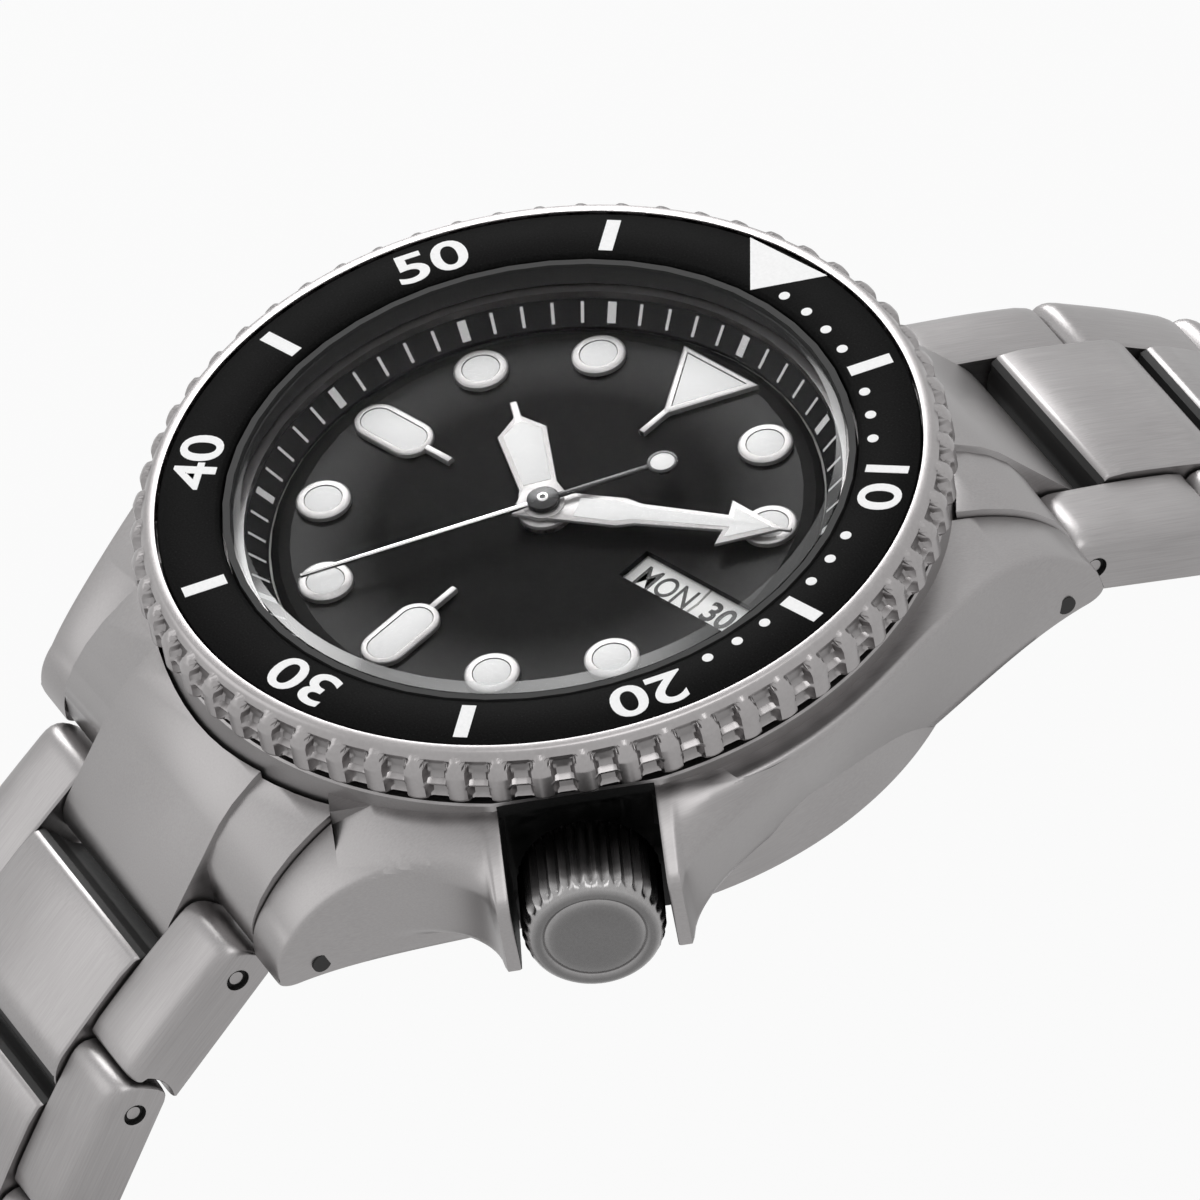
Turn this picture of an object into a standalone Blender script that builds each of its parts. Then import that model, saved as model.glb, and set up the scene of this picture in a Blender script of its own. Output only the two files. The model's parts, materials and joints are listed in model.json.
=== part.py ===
"""Steel wristwatch: turning bezel, self-winding movement, crown at about four, folding bracelet.

Units are metres. The origin is the centre of the case back, +Z points out of the dial, +Y points to the
lugs at 12 o'clock and +X to the crown side.
"""

from math import asin, cos, degrees, hypot, pi, radians, sin, sqrt, tau

import bmesh
import bpy
from mathutils import Matrix

# Fits
FIT = 0.0001
RUN = 0.00015
WELD = 0.0000002

# Facets
FINE = 48
PLAIN = 32
SMALL = 12
SHARP_ANGLE = radians(32)
FLAT_ANGLE = radians(0.001)
FACET_TURN = radians(5)

# Case
CASE_WIDTH = 0.0424
CASE_UNDERSIDE = 0.0012
CASE_SHOULDER = 0.0098
UNDERSIDE_WIDTH = 0.0368
SHOULDER_DROP = 0.0008
FLANK_BULGE = 0.0003
FLANK_SWEEP = 1.9
CASE_STATIONS = 22
LUG_TO_LUG = 0.0464
LUG_SPACE = 0.0206
LUG_WALL = 0.0027
LUG_NOSE = 0.0024
LUG_CURVE_START = 0.0086
END_WALL_RADIUS = 0.0200
NECK_RADIUS = 0.0179
CAVITY_RADIUS = 0.0152
GLASS_LEDGE = 0.00045
LEDGE_RADIUS = 0.0149
BACK_THREAD_RADIUS = 0.0166
BACK_THREAD_DEPTH = 0.0027
SPRING_BAR_Y = 0.02096
SPRING_BAR_Z = 0.00225
LUG_HOLE_RADIUS = 0.0005

# Bezel, as it stands turned against the lugs
BEZEL_TURN = radians(20)
BEZEL_RADIUS = 0.0205
BEZEL_TEETH = 60
TOOTH_DEPTH = 0.00055
TOOTH_LOW = 0.00045
TOOTH_HIGH = 0.0023
BEZEL_RIM_RADIUS = 0.0196
FLANGE_THICKNESS = 0.0003
INSERT_PLANE = 0.0130
INSERT_THICKNESS = 0.0008
INSERT_RADIUS = 0.0190
INSERT_BORE = 0.01585
CLICK_GAP = radians(40)
CLICK_HEIGHT = 0.0004
BEZEL_GASKET_HEIGHT = 0.0004

# Crystal
CRYSTAL_RADIUS = 0.0153
CRYSTAL_THICKNESS = 0.0016
CRYSTAL_RISE = 0.0002
CRYSTAL_BEVEL = 0.0009
CRYSTAL_BEVEL_DROP = 0.0005
CRYSTAL_GASKET = 0.00035

# Dial, as it stands turned against the lugs
DIAL_TURN = radians(18.5)
DIAL_DEPTH = 0.00275
DIAL_THICKNESS = 0.00037
DIAL_RADIUS = 0.0138
DIAL_FLAT_RADIUS = 0.0128
DIAL_ROLL = 0.0004
DIAL_BORE = 0.0013
MARKER_HEIGHT = 0.00028
MARKER_RING = 0.01142
DOT_RADIUS = 0.00135
PILL_LENGTH = 0.0046
PILL_WIDTH = 0.0023
TRIANGLE_BASE = 0.0050
TRIANGLE_HEIGHT = 0.0042
TAIL_LENGTH = 0.0016
TAIL_WIDTH = 0.0003
WINDOW_LENGTH = 0.0071
WINDOW_WIDTH = 0.00207
WINDOW_OUTER = 0.0130
CHAPTER_INNER = 0.0139
CHAPTER_RISE = 0.0011
CHAPTER_LIP = 0.0002

# Hands
HAND_THICKNESS = 0.00015
HAND_STEP = 0.00034
HOUR_LENGTH = 0.0082
HOUR_WIDTH = 0.0025
MINUTE_LENGTH = 0.0128
MINUTE_WIDTH = 0.0014
ARROW_LENGTH = 0.0034
ARROW_WIDTH = 0.0032
SECOND_LENGTH = 0.0126
SECOND_WIDTH = 0.0003
SECOND_TAIL = 0.0062
SECOND_DOT_RADIUS = 0.00075
PIPE_WALL = 0.0002
PIPE_STEP = 0.00033
HOUR_PIPE_RADIUS = 0.00105
PIPE_SINK = 0.0008
TIME_HOURS = 10
TIME_MINUTES = 10
TIME_SECONDS = 35

# Movement
MOVEMENT_RADIUS = 0.0137
MAINPLATE_BASE = 0.0046
DISC_THICKNESS = 0.0002
DAY_RADIUS = 0.0101
DATE_OUTER = 0.0133
BRIDGE_THICKNESS = 0.00045
BRIDGE_RADIUS = 0.0130
BRIDGE_SPAN = radians(102)
BRIDGE_BACK = 0.0030
BALANCE_RADIUS = 0.0042
BALANCE_RIM = 0.0006
BALANCE_REACH = 0.0080
BALANCE_ANGLE = radians(150)
BALANCE_THICKNESS = 0.0005
BALANCE_POCKET = 0.0018
BALANCE_STAFF = 0.0004
BALANCE_SPOKE = 0.0005
COCK_WIDTH = 0.0032
ROTOR_RADIUS = 0.0126
ROTOR_RIM = 0.0022
ROTOR_PLATE = 0.0004
ROTOR_RIM_HEIGHT = 0.0012
ROTOR_HUB_RADIUS = 0.0019
ROTOR_AXLE_RADIUS = 0.0009
ROTOR_ANGLE = radians(-70)

# Case back
BACK_FLANGE_RADIUS = 0.0174
BACK_WINDOW_RADIUS = 0.0126
BACK_WINDOW_THICKNESS = 0.0012
BACK_OPENING_RADIUS = 0.0118
BACK_LIP = 0.0008
BACK_GASKET_HEIGHT = 0.0004
BACK_NOTCHES = 6
NOTCH_WIDTH = 0.0030
NOTCH_DEPTH = 0.0009

# Crown
CROWN_ANGLE = radians(-24.2)
CROWN_HEIGHT = 0.0055
CROWN_RADIUS = 0.00353
CROWN_END = 0.0255
CROWN_LENGTH = 0.0051
CROWN_FLUTES = 36
FLUTE_DEPTH = 0.0002
CROWN_CHAMFER = 0.00045
CROWN_SKIRT = 0.0026
CROWN_SKIRT_BORE = 0.0025
CROWN_SLOT = 0.0194
CROWN_SIDE_GAP = 0.0003
TUBE_RADIUS = 0.0014
TUBE_BORE = 0.0009
TUBE_END = 0.0226
STEM_RADIUS = 0.0005
STEM_START = 0.0090
STEM_GROOVE = 0.0110
GROOVE_WIDTH = 0.0007
GROOVE_RADIUS = 0.0003
STEM_SEAT = 0.0011
LEVER_THICKNESS = 0.0005
LEVER_HALF_WIDTH = 0.0015
CROWN_PULL = 0.0012
GUARD_REACH = 0.0249
GUARD_TIP = 0.0049
GUARD_SPREAD = 0.0095
GUARD_ROOT = 0.0200
GUARD_UNDERCUT = 0.0018
GUARD_LOW = 0.0026
GUARD_HIGH = 0.0085

# Bracelet
LINKS_PER_SIDE = 7
LINK_PITCH = 0.00855
LINK_WIDTH = 0.0202
LINK_CENTRE_WIDTH = 0.0112
LINK_TOP = 0.00195
LINK_EDGE_TOP = 0.00155
LINK_CENTRE_TOP = 0.0023
LINK_UNDER = 0.00115
LINK_CROWN = 0.00012
LINK_NOSE = 0.0017
LINK_HOLLOW = 0.0023
CENTRE_HOLLOW = 0.0026
LINK_SHOULDER = 0.0004
PIN_RADIUS = 0.0006
PIN_RECESS_RADIUS = 0.0008
PIN_RECESS_DEPTH = 0.0004
FIXED_PIN_PLACE = 0.0046
PIVOT_Y = 0.0242
PIVOT_Z = 0.0003
SLOPE_AT_12 = radians(21)
SLOPE_AT_6 = radians(38.6)
FIRST_BEND = radians(16)
HANGING = radians(90)
END_LINK_UNDER = 0.0010
END_LINK_RISE = 0.0009
END_LINK_SIDE_RISE = 0.00045
END_LINK_BACK = 0.0135
SPRING_BAR_RADIUS = 0.00075
SPRING_BAR_TIP = 0.0004

# Clasp
CLASP_LENGTH = 0.0400
BLADE_TOP = 0.0003
BLADE_UNDER = 0.0009
RAIL_WIDTH = 0.0017
FOLD_PLACE = 0.0355
COVER_HINGE = 0.0052
COVER_START = 0.0040
COVER_PLATE = 0.0009
COVER_TOP = 0.0026
COVER_WALL = 0.0009
COVER_UNDER = 0.0010
COVER_END = 0.0378
EAR_END = 0.0403
HINGE_EAR = 0.0011
HINGE_EYE = 0.0009
BUTTON_PLACE = 0.0120
BUTTON_LENGTH = 0.0060
BUTTON_HEIGHT = 0.0018
BUTTON_PROUD = 0.0007
BUTTON_DEPTH = 0.0016
ADJUST_HOLES = 3
ADJUST_STEP = 0.0025
ADJUST_RADIUS = 0.0005

# Places that follow from the sizes above
LUG_REACH = LUG_TO_LUG / 2
BEZEL_BASE = CASE_SHOULDER + 2 * RUN
INSERT_SEAT = INSERT_PLANE - INSERT_THICKNESS - FIT
NECK_TOP = INSERT_SEAT - FLANGE_THICKNESS - RUN
CRYSTAL_TOP = INSERT_PLANE + CRYSTAL_RISE
CRYSTAL_BASE = CRYSTAL_TOP - CRYSTAL_THICKNESS
LEDGE_TOP = CRYSTAL_BASE - FIT
DIAL_TOP = INSERT_PLANE - DIAL_DEPTH
DIAL_BASE = DIAL_TOP - DIAL_THICKNESS
DISC_TOP = DIAL_BASE - RUN
DISC_BASE = DISC_TOP - DISC_THICKNESS
MAINPLATE_TOP = DISC_BASE - FIT
HOLDER_TOP = DISC_TOP
PIPE_BASE = MAINPLATE_TOP - PIPE_SINK
BRIDGE_TOP = MAINPLATE_BASE - FIT
BRIDGE_BASE = BRIDGE_TOP - BRIDGE_THICKNESS
BACK_STEP = CASE_UNDERSIDE + BACK_THREAD_DEPTH
BACK_RING_TOP = BACK_STEP - BACK_GASKET_HEIGHT - 2 * FIT
WINDOW_BASE = BACK_LIP + FIT
WINDOW_TOP = WINDOW_BASE + BACK_WINDOW_THICKNESS
HOUR_Z = DIAL_TOP + 0.5 * HAND_STEP + MARKER_HEIGHT / 2
MINUTE_Z = HOUR_Z + HAND_STEP
SECOND_Z = MINUTE_Z + HAND_STEP
INNER_HALF = LINK_CENTRE_WIDTH / 2
OUTER_START = INNER_HALF + RUN
LINK_HALF = LINK_WIDTH / 2

# Finishes: colour, roughness, metallic
STEEL = ((0.56, 0.54, 0.53, 1.0), 0.32, 1.0)
POLISHED = ((0.66, 0.64, 0.63, 1.0), 0.15, 1.0)
BLACK_METAL = ((0.012, 0.012, 0.013, 1.0), 0.35, 0.4)
BLACK_DIAL = ((0.008, 0.008, 0.009, 1.0), 0.25, 0.3)
RUBBER = ((0.02, 0.02, 0.02, 1.0), 0.7, 0.0)
WHITE = ((0.85, 0.85, 0.83, 1.0), 0.5, 0.0)
BRASS = ((0.62, 0.50, 0.27, 1.0), 0.3, 1.0)
RHODIUM = ((0.60, 0.59, 0.57, 1.0), 0.25, 1.0)
PLASTIC = ((0.55, 0.55, 0.53, 1.0), 0.5, 0.0)
GLASS = ((0.95, 0.97, 0.97, 0.15), 0.02, 0.0)


def clear_scene():
    for item in list(bpy.data.objects):
        bpy.data.objects.remove(item, do_unlink=True)


def own_material(name, finish):
    colour, roughness, metallic = finish
    material = bpy.data.materials.new(name + "_finish")
    material.use_nodes = True
    shader = material.node_tree.nodes["Principled BSDF"]
    shader.inputs["Base Color"].default_value = colour
    shader.inputs["Alpha"].default_value = colour[3]
    shader.inputs["Roughness"].default_value = roughness
    shader.inputs["Metallic"].default_value = metallic
    return material


def mesh_of(form, name):
    bmesh.ops.connect_verts_nonplanar(form, angle_limit=FLAT_ANGLE, faces=form.faces)
    bmesh.ops.recalc_face_normals(form, faces=form.faces)
    mesh = bpy.data.meshes.new(name)
    form.to_mesh(mesh)
    form.free()
    return mesh


def smooth(mesh):
    mesh.shade_smooth()
    mesh.set_sharp_from_angle(angle=SHARP_ANGLE)


def add_object(name, mesh, place):
    item = bpy.data.objects.new(name, mesh)
    bpy.context.scene.collection.objects.link(item)
    item.matrix_world = place
    return item


def piece(name, form, finish, place=None):
    """Make the named object of a sub-part from its form, with its own material."""
    mesh = mesh_of(form, name)
    smooth(mesh)
    mesh.materials.append(own_material(name, finish))
    return add_object(name, mesh, place or Matrix.Identity(4))


def tool(item, form, operation, place=None):
    """Add a boolean step to an object, with the tool kept as a hidden wire object."""
    name = "%s_tool_%d" % (item.name, len(item.modifiers))
    helper = add_object(name, mesh_of(form, name), place or item.matrix_world.copy())
    helper.hide_render = True
    helper.display_type = "WIRE"
    step = item.modifiers.new(name, "BOOLEAN")
    step.operation = operation
    step.solver = "EXACT"
    step.object = helper
    return helper


def cut(item, form, place=None):
    return tool(item, form, "DIFFERENCE", place)


def join(item, form, place=None):
    return tool(item, form, "UNION", place)


def settled(item):
    """Carry out an object's boolean steps and drop its tools, so that copies can share the mesh."""
    bpy.context.view_layer.update()
    graph = bpy.context.evaluated_depsgraph_get()
    mesh = bpy.data.meshes.new_from_object(item.evaluated_get(graph))
    helpers = [step.object for step in item.modifiers]
    bpy.data.objects.remove(item, do_unlink=True)
    for helper in helpers:
        bpy.data.objects.remove(helper, do_unlink=True)
    smooth(mesh)
    return mesh


def loft(sections):
    """Skin a row of closed outlines that have equal counts of points, with flat end caps."""
    form = bmesh.new()
    rows = [[form.verts.new(point) for point in outline] for outline in sections]
    count = len(rows[0])
    for low, high in zip(rows, rows[1:]):
        for k in range(count):
            after = (k + 1) % count
            form.faces.new((low[k], low[after], high[after], high[k]))
    form.faces.new(rows[0])
    form.faces.new(rows[-1])
    return form


def prism(outline, low, high):
    return loft([[(x, y, z) for x, y in outline] for z in (low, high)])


def bar(*sections):
    """Loft along X between outlines in the Y-Z plane, each given as its X and its points."""
    return loft([[(x, y, z) for y, z in outline] for x, outline in sections])


def turned(profile, segments=PLAIN):
    """Turn a profile of radius and height pairs about Z; a profile off the axis gives a ring."""
    form = bmesh.new()
    verts = [form.verts.new((radius, 0, height)) for radius, height in profile]
    pairs = list(zip(verts, verts[1:]))
    if profile[0][0] > 0:
        pairs.append((verts[-1], verts[0]))
    edges = [form.edges.new(pair) for pair in pairs]
    bmesh.ops.spin(
        form, geom=verts + edges, cent=(0, 0, 0), axis=(0, 0, 1), angle=tau, steps=segments, use_merge=True
    )
    bmesh.ops.remove_doubles(form, verts=form.verts, dist=WELD)
    return form


def ring(inner, outer, low, high, segments=PLAIN):
    return turned([(inner, low), (outer, low), (outer, high), (inner, high)], segments)


def disc(radius, low, high, segments=PLAIN):
    return turned([(0, low), (radius, low), (radius, high), (0, high)], segments)


def along_x(radius, start, end, y=0.0, z=0.0, segments=SMALL):
    """A round bar along X."""
    return bar((start, arc(y, z, radius, 0, tau, segments)), (end, arc(y, z, radius, 0, tau, segments)))


def arc(u, w, radius, start, end, count):
    """Points on a circle, both ends included unless it closes on itself."""
    steps = count if abs(end - start) >= tau else count - 1
    return [
        (u + radius * cos(start + (end - start) * k / steps), w + radius * sin(start + (end - start) * k / steps))
        for k in range(count)
    ]


def box(low, high):
    outline = [(low[0], low[1]), (high[0], low[1]), (high[0], high[1]), (low[0], high[1])]
    return prism(outline, low[2], high[2])


def about_z(angle, z=0.0):
    return Matrix.Translation((0, 0, z)) @ Matrix.Rotation(angle, 4, "Z")


CROWN_PLACE = about_z(CROWN_ANGLE, CROWN_HEIGHT)
CROWN_TURNED = CROWN_PLACE @ Matrix.Rotation(pi / 2, 4, "Y")


# Case

def top_line(y):
    """Height of the case's top along the lugs, which fall to the nose in a quarter ellipse."""
    along = max(0.0, abs(y) - LUG_CURVE_START) / (LUG_REACH - LUG_CURVE_START)
    return LUG_NOSE + (CASE_SHOULDER - LUG_NOSE) * sqrt(max(0.0, 1 - along ** 2))


def flank(y, middle):
    """Half width of the case at a place along the lugs, for a given half width at the middle."""
    tip = LUG_SPACE / 2 + LUG_WALL
    along = min(1.0, abs(y) / LUG_REACH)
    return tip + (middle - tip) * (1 - along ** 2) ** FLANK_SWEEP


def case_section(y):
    top = top_line(y)
    crease = (flank(y, CASE_WIDTH / 2), top - SHOULDER_DROP)
    foot = (flank(y, UNDERSIDE_WIDTH / 2), CASE_UNDERSIDE)
    belly = ((crease[0] + foot[0]) / 2 + FLANK_BULGE, (crease[1] + foot[1]) / 2)
    half = [(LUG_SPACE / 2 - LUG_WALL, top), crease, belly, foot]
    other = [(-x, z) for x, z in reversed(half)]
    return [(x, y, z) for x, z in half + other]


def guard_outline(root):
    """Plan of the two crown guards: hollow curves from the flank out to the tips."""
    side = []
    for k in range(7):
        angle = k * pi / 12
        reach = GUARD_REACH - (GUARD_REACH - root) * cos(angle)
        side.append((reach, GUARD_SPREAD - (GUARD_SPREAD - GUARD_TIP) * sin(angle)))
    back = CAVITY_RADIUS
    lower = [(s, -w) for s, w in side]
    return [(back, -GUARD_SPREAD)] + lower + list(reversed(side)) + [(back, GUARD_SPREAD)]


def lug_slot():
    """Space between a pair of lugs, with a round wall towards the case."""
    half = LUG_SPACE / 2
    reach = asin(half / END_WALL_RADIUS)
    wall = arc(0, 0, END_WALL_RADIUS, pi / 2 + reach, pi / 2 - reach, 13)
    return wall + [(half, LUG_REACH + LUG_WALL), (-half, LUG_REACH + LUG_WALL)]


def build_case():
    stations = [LUG_REACH * sin(pi * (k / CASE_STATIONS - 0.5)) for k in range(CASE_STATIONS + 1)]
    case = piece("case_middle", loft([case_section(y) for y in stations]), STEEL)
    join(case, disc(END_WALL_RADIUS - FIT, CASE_UNDERSIDE + FIT, CASE_SHOULDER, FINE))
    join(case, disc(NECK_RADIUS, CASE_UNDERSIDE + 2 * FIT, NECK_TOP, FINE))
    low = [(s, w, GUARD_LOW) for s, w in guard_outline(GUARD_ROOT - GUARD_UNDERCUT)]
    high = [(s, w, GUARD_HIGH) for s, w in guard_outline(GUARD_ROOT)]
    join(case, loft([low, high]), about_z(CROWN_ANGLE))
    cavity = [
        (0, -CASE_UNDERSIDE),
        (BACK_THREAD_RADIUS, -CASE_UNDERSIDE),
        (BACK_THREAD_RADIUS, BACK_STEP),
        (CAVITY_RADIUS, BACK_STEP),
        (CAVITY_RADIUS, LEDGE_TOP - GLASS_LEDGE),
        (LEDGE_RADIUS, LEDGE_TOP - GLASS_LEDGE),
        (LEDGE_RADIUS, LEDGE_TOP),
        (CRYSTAL_RADIUS + CRYSTAL_GASKET + 2 * FIT, LEDGE_TOP),
        (CRYSTAL_RADIUS + CRYSTAL_GASKET + 2 * FIT, CRYSTAL_TOP),
        (0, CRYSTAL_TOP),
    ]
    cut(case, turned(cavity, FINE))
    for turn in (0, pi):
        cut(case, prism(lug_slot(), -CASE_UNDERSIDE, CRYSTAL_TOP), about_z(turn))
        y = SPRING_BAR_Y * cos(turn)
        cut(case, along_x(LUG_HOLE_RADIUS, -CASE_WIDTH / 2, CASE_WIDTH / 2, y, SPRING_BAR_Z))
    half = CROWN_RADIUS + CROWN_SIDE_GAP
    slot = box((CROWN_SLOT, -half, -CASE_UNDERSIDE), (CROWN_END + half, half, CASE_SHOULDER + FIT))
    cut(case, slot, about_z(CROWN_ANGLE))
    cut(case, disc(TUBE_RADIUS + FIT, LEDGE_RADIUS, CROWN_END, SMALL), CROWN_TURNED)


# Bezel

def build_bezel():
    """Bezel ring with its grip teeth; the teeth use four points each and the bore a fourth of them."""
    form = bmesh.new()
    pitch = tau / BEZEL_TEETH
    shares = ((-0.18, 0.0), (0.18, 0.0), (0.34, 1.0), (0.66, 1.0))
    valley = BEZEL_RADIUS - TOOTH_DEPTH

    def toothed(height, crest, root):
        row = []
        for tooth in range(BEZEL_TEETH):
            for share, depth in shares:
                radius = crest + (root - crest) * depth
                angle = (tooth + share) * pitch
                row.append(form.verts.new((radius * cos(angle), radius * sin(angle), height)))
        return row

    def plain(height, radius):
        angles = [(tooth + 0.5) * pitch for tooth in range(BEZEL_TEETH)]
        return [form.verts.new((radius * cos(a), radius * sin(a), height)) for a in angles]

    base = valley - TOOTH_LOW
    fringe = [
        toothed(BEZEL_BASE, base, base),
        toothed(BEZEL_BASE + TOOTH_LOW, BEZEL_RADIUS, valley),
        toothed(BEZEL_BASE + TOOTH_HIGH, BEZEL_RADIUS, valley),
        toothed(INSERT_PLANE + FIT, BEZEL_RIM_RADIUS, BEZEL_RIM_RADIUS),
    ]
    bore = NECK_RADIUS + RUN
    core = [
        plain(INSERT_PLANE + FIT, INSERT_RADIUS + FIT),
        plain(INSERT_SEAT, INSERT_RADIUS + FIT),
        plain(INSERT_SEAT, INSERT_BORE),
        plain(INSERT_SEAT - FLANGE_THICKNESS, INSERT_BORE),
        plain(INSERT_SEAT - FLANGE_THICKNESS, bore),
        plain(BEZEL_BASE + BEZEL_GASKET_HEIGHT + CLICK_HEIGHT + 3 * RUN, bore),
        plain(BEZEL_BASE + BEZEL_GASKET_HEIGHT + CLICK_HEIGHT + 3 * RUN, bore + 2 * CLICK_HEIGHT),
        plain(BEZEL_BASE, bore + 2 * CLICK_HEIGHT),
    ]
    for rows in (fringe, core):
        for low, high in zip(rows, rows[1:]):
            for k in range(len(low)):
                after = (k + 1) % len(low)
                form.faces.new((low[k], low[after], high[after], high[k]))
    points = len(shares)
    for outer, inner in ((fringe[-1], core[0]), (fringe[0], core[-1])):
        for tooth in range(BEZEL_TEETH):
            first = tooth * points
            near = inner[tooth - 1]
            far = inner[tooth]
            run = [outer[first + k] for k in range(points)]
            form.faces.new([near] + run + [far])
            form.faces.new((far, run[-1], outer[(first + points) % len(outer)]))
    piece("bezel_ring", form, STEEL, about_z(BEZEL_TURN))

    half_top = INSERT_PLANE - FIT
    insert = [
        (INSERT_BORE, INSERT_SEAT + FIT),
        (INSERT_RADIUS, INSERT_SEAT + FIT),
        (INSERT_RADIUS, half_top),
        (INSERT_RADIUS - FIT, INSERT_PLANE),
        (INSERT_BORE + FIT, INSERT_PLANE),
        (INSERT_BORE, half_top),
    ]
    piece("bezel_insert", turned(insert, FINE), BLACK_METAL, about_z(BEZEL_TURN))


def open_ring(inner, outer, low, high, gap, count):
    """A flat ring with a gap, as a bent spring wire has."""
    outside = arc(0, 0, outer, gap / 2, tau - gap / 2, count)
    inside = arc(0, 0, inner, tau - gap / 2, gap / 2, count)
    return prism(outside + inside, low, high)


def build_bezel_hold():
    inner = NECK_RADIUS + FIT
    outer = inner + CLICK_HEIGHT
    low = BEZEL_BASE + FIT
    high = low + BEZEL_GASKET_HEIGHT
    piece("bezel_gasket", ring(inner, outer, low, high, FINE), RUBBER)
    low = high + FIT
    form = open_ring(inner, outer, low, low + CLICK_HEIGHT, CLICK_GAP, FINE)
    piece("bezel_click_spring", form, POLISHED)


# Crystal, dial and hands

def build_crystal():
    inner = CRYSTAL_RADIUS - CRYSTAL_BEVEL
    profile = [
        (0, CRYSTAL_BASE),
        (CRYSTAL_RADIUS, CRYSTAL_BASE),
        (CRYSTAL_RADIUS, CRYSTAL_TOP - CRYSTAL_BEVEL_DROP),
        (inner, CRYSTAL_TOP),
        (0, CRYSTAL_TOP),
    ]
    piece("crystal", turned(profile, FINE), GLASS)
    inner = CRYSTAL_RADIUS + FIT
    top = INSERT_PLANE - FIT
    piece("crystal_gasket", ring(inner, inner + CRYSTAL_GASKET, LEDGE_TOP + FIT, top, FINE), RUBBER)


def dial_place():
    return about_z(DIAL_TURN)


def hour_place(hour):
    """Frame whose +Y axis points from the centre to an hour of the dial."""
    return Matrix.Rotation(-hour * tau / 12, 4, "Z")


def marker_forms():
    """Applied markers with the hour they stand at, sunk a little into the dial."""
    low = DIAL_TOP - FIT
    high = DIAL_TOP + MARKER_HEIGHT
    rim = MARKER_RING + DOT_RADIUS
    for hour in (1, 2, 4, 5, 7, 8, 10, 11):
        yield hour, prism(arc(0, MARKER_RING, DOT_RADIUS, FACET_TURN, tau + FACET_TURN, SMALL), low, high)
    half = PILL_WIDTH / 2
    thin = TAIL_WIDTH / 2
    spread = asin(thin / half)
    near = rim - PILL_LENGTH + half
    pill = arc(0, rim - half, half, 0, pi, 9)
    pill += arc(0, near, half, pi, pi * 3 / 2 - spread, 4)
    pill += [(-thin, near - half - TAIL_LENGTH), (thin, near - half - TAIL_LENGTH)]
    pill += arc(0, near, half, pi * 3 / 2 + spread, tau, 4)
    for hour in (6, 9):
        yield hour, prism(pill, low, high)
    half = TRIANGLE_BASE / 2
    apex = rim - TRIANGLE_HEIGHT
    neck = apex + TRIANGLE_HEIGHT * thin / half
    foot = apex - TAIL_LENGTH
    yield 12, prism([(-half, rim), (-thin, neck), (-thin, foot), (thin, foot), (thin, neck), (half, rim)], low, high)


def build_dial():
    roll = (DIAL_RADIUS - DIAL_FLAT_RADIUS) * 0.6
    profile = [
        (DIAL_BORE, DIAL_BASE),
        (DIAL_RADIUS - roll, DIAL_BASE),
        (DIAL_RADIUS, DIAL_BASE),
        (DIAL_RADIUS, DIAL_TOP - DIAL_ROLL + FIT),
        (DIAL_FLAT_RADIUS + roll, DIAL_TOP - DIAL_ROLL / 3),
        (DIAL_FLAT_RADIUS, DIAL_TOP),
        (DIAL_BORE, DIAL_TOP),
    ]
    dial = piece("dial", turned(profile, FINE), BLACK_DIAL, dial_place())
    for hour, form in marker_forms():
        join(dial, form, dial_place() @ hour_place(hour))
    half = WINDOW_WIDTH / 2
    low = (WINDOW_OUTER - WINDOW_LENGTH, -half, DIAL_BASE - FIT)
    cut(dial, box(low, (WINDOW_OUTER, half, DIAL_TOP + FIT)))
    outer = CAVITY_RADIUS - FIT
    chapter = [
        (CHAPTER_INNER, HOLDER_TOP + FIT),
        (outer, HOLDER_TOP + FIT),
        (outer, DIAL_TOP - CHAPTER_LIP + CHAPTER_RISE - FIT),
        (LEDGE_RADIUS, DIAL_TOP - CHAPTER_LIP + CHAPTER_RISE - FIT),
        (CHAPTER_INNER, DIAL_TOP - CHAPTER_LIP),
    ]
    piece("chapter_ring", turned(chapter, FINE), BLACK_DIAL, dial_place())


def pipe(form_name, outline, height, outer, finish, place):
    """A hand: its flat blade with the pipe that runs down through the dial."""
    hand = piece(form_name, prism(outline, height, height + HAND_THICKNESS), finish, place)
    bore = outer - PIPE_WALL
    join(hand, disc(outer, PIPE_BASE, height + HAND_THICKNESS + FIT, SMALL))
    if bore > PIPE_WALL:
        cut(hand, disc(bore, PIPE_BASE - FIT, height + HAND_THICKNESS + 2 * FIT, SMALL))
    return hand


def hand_place(turns):
    return about_z(DIAL_TURN - turns * tau)


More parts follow.
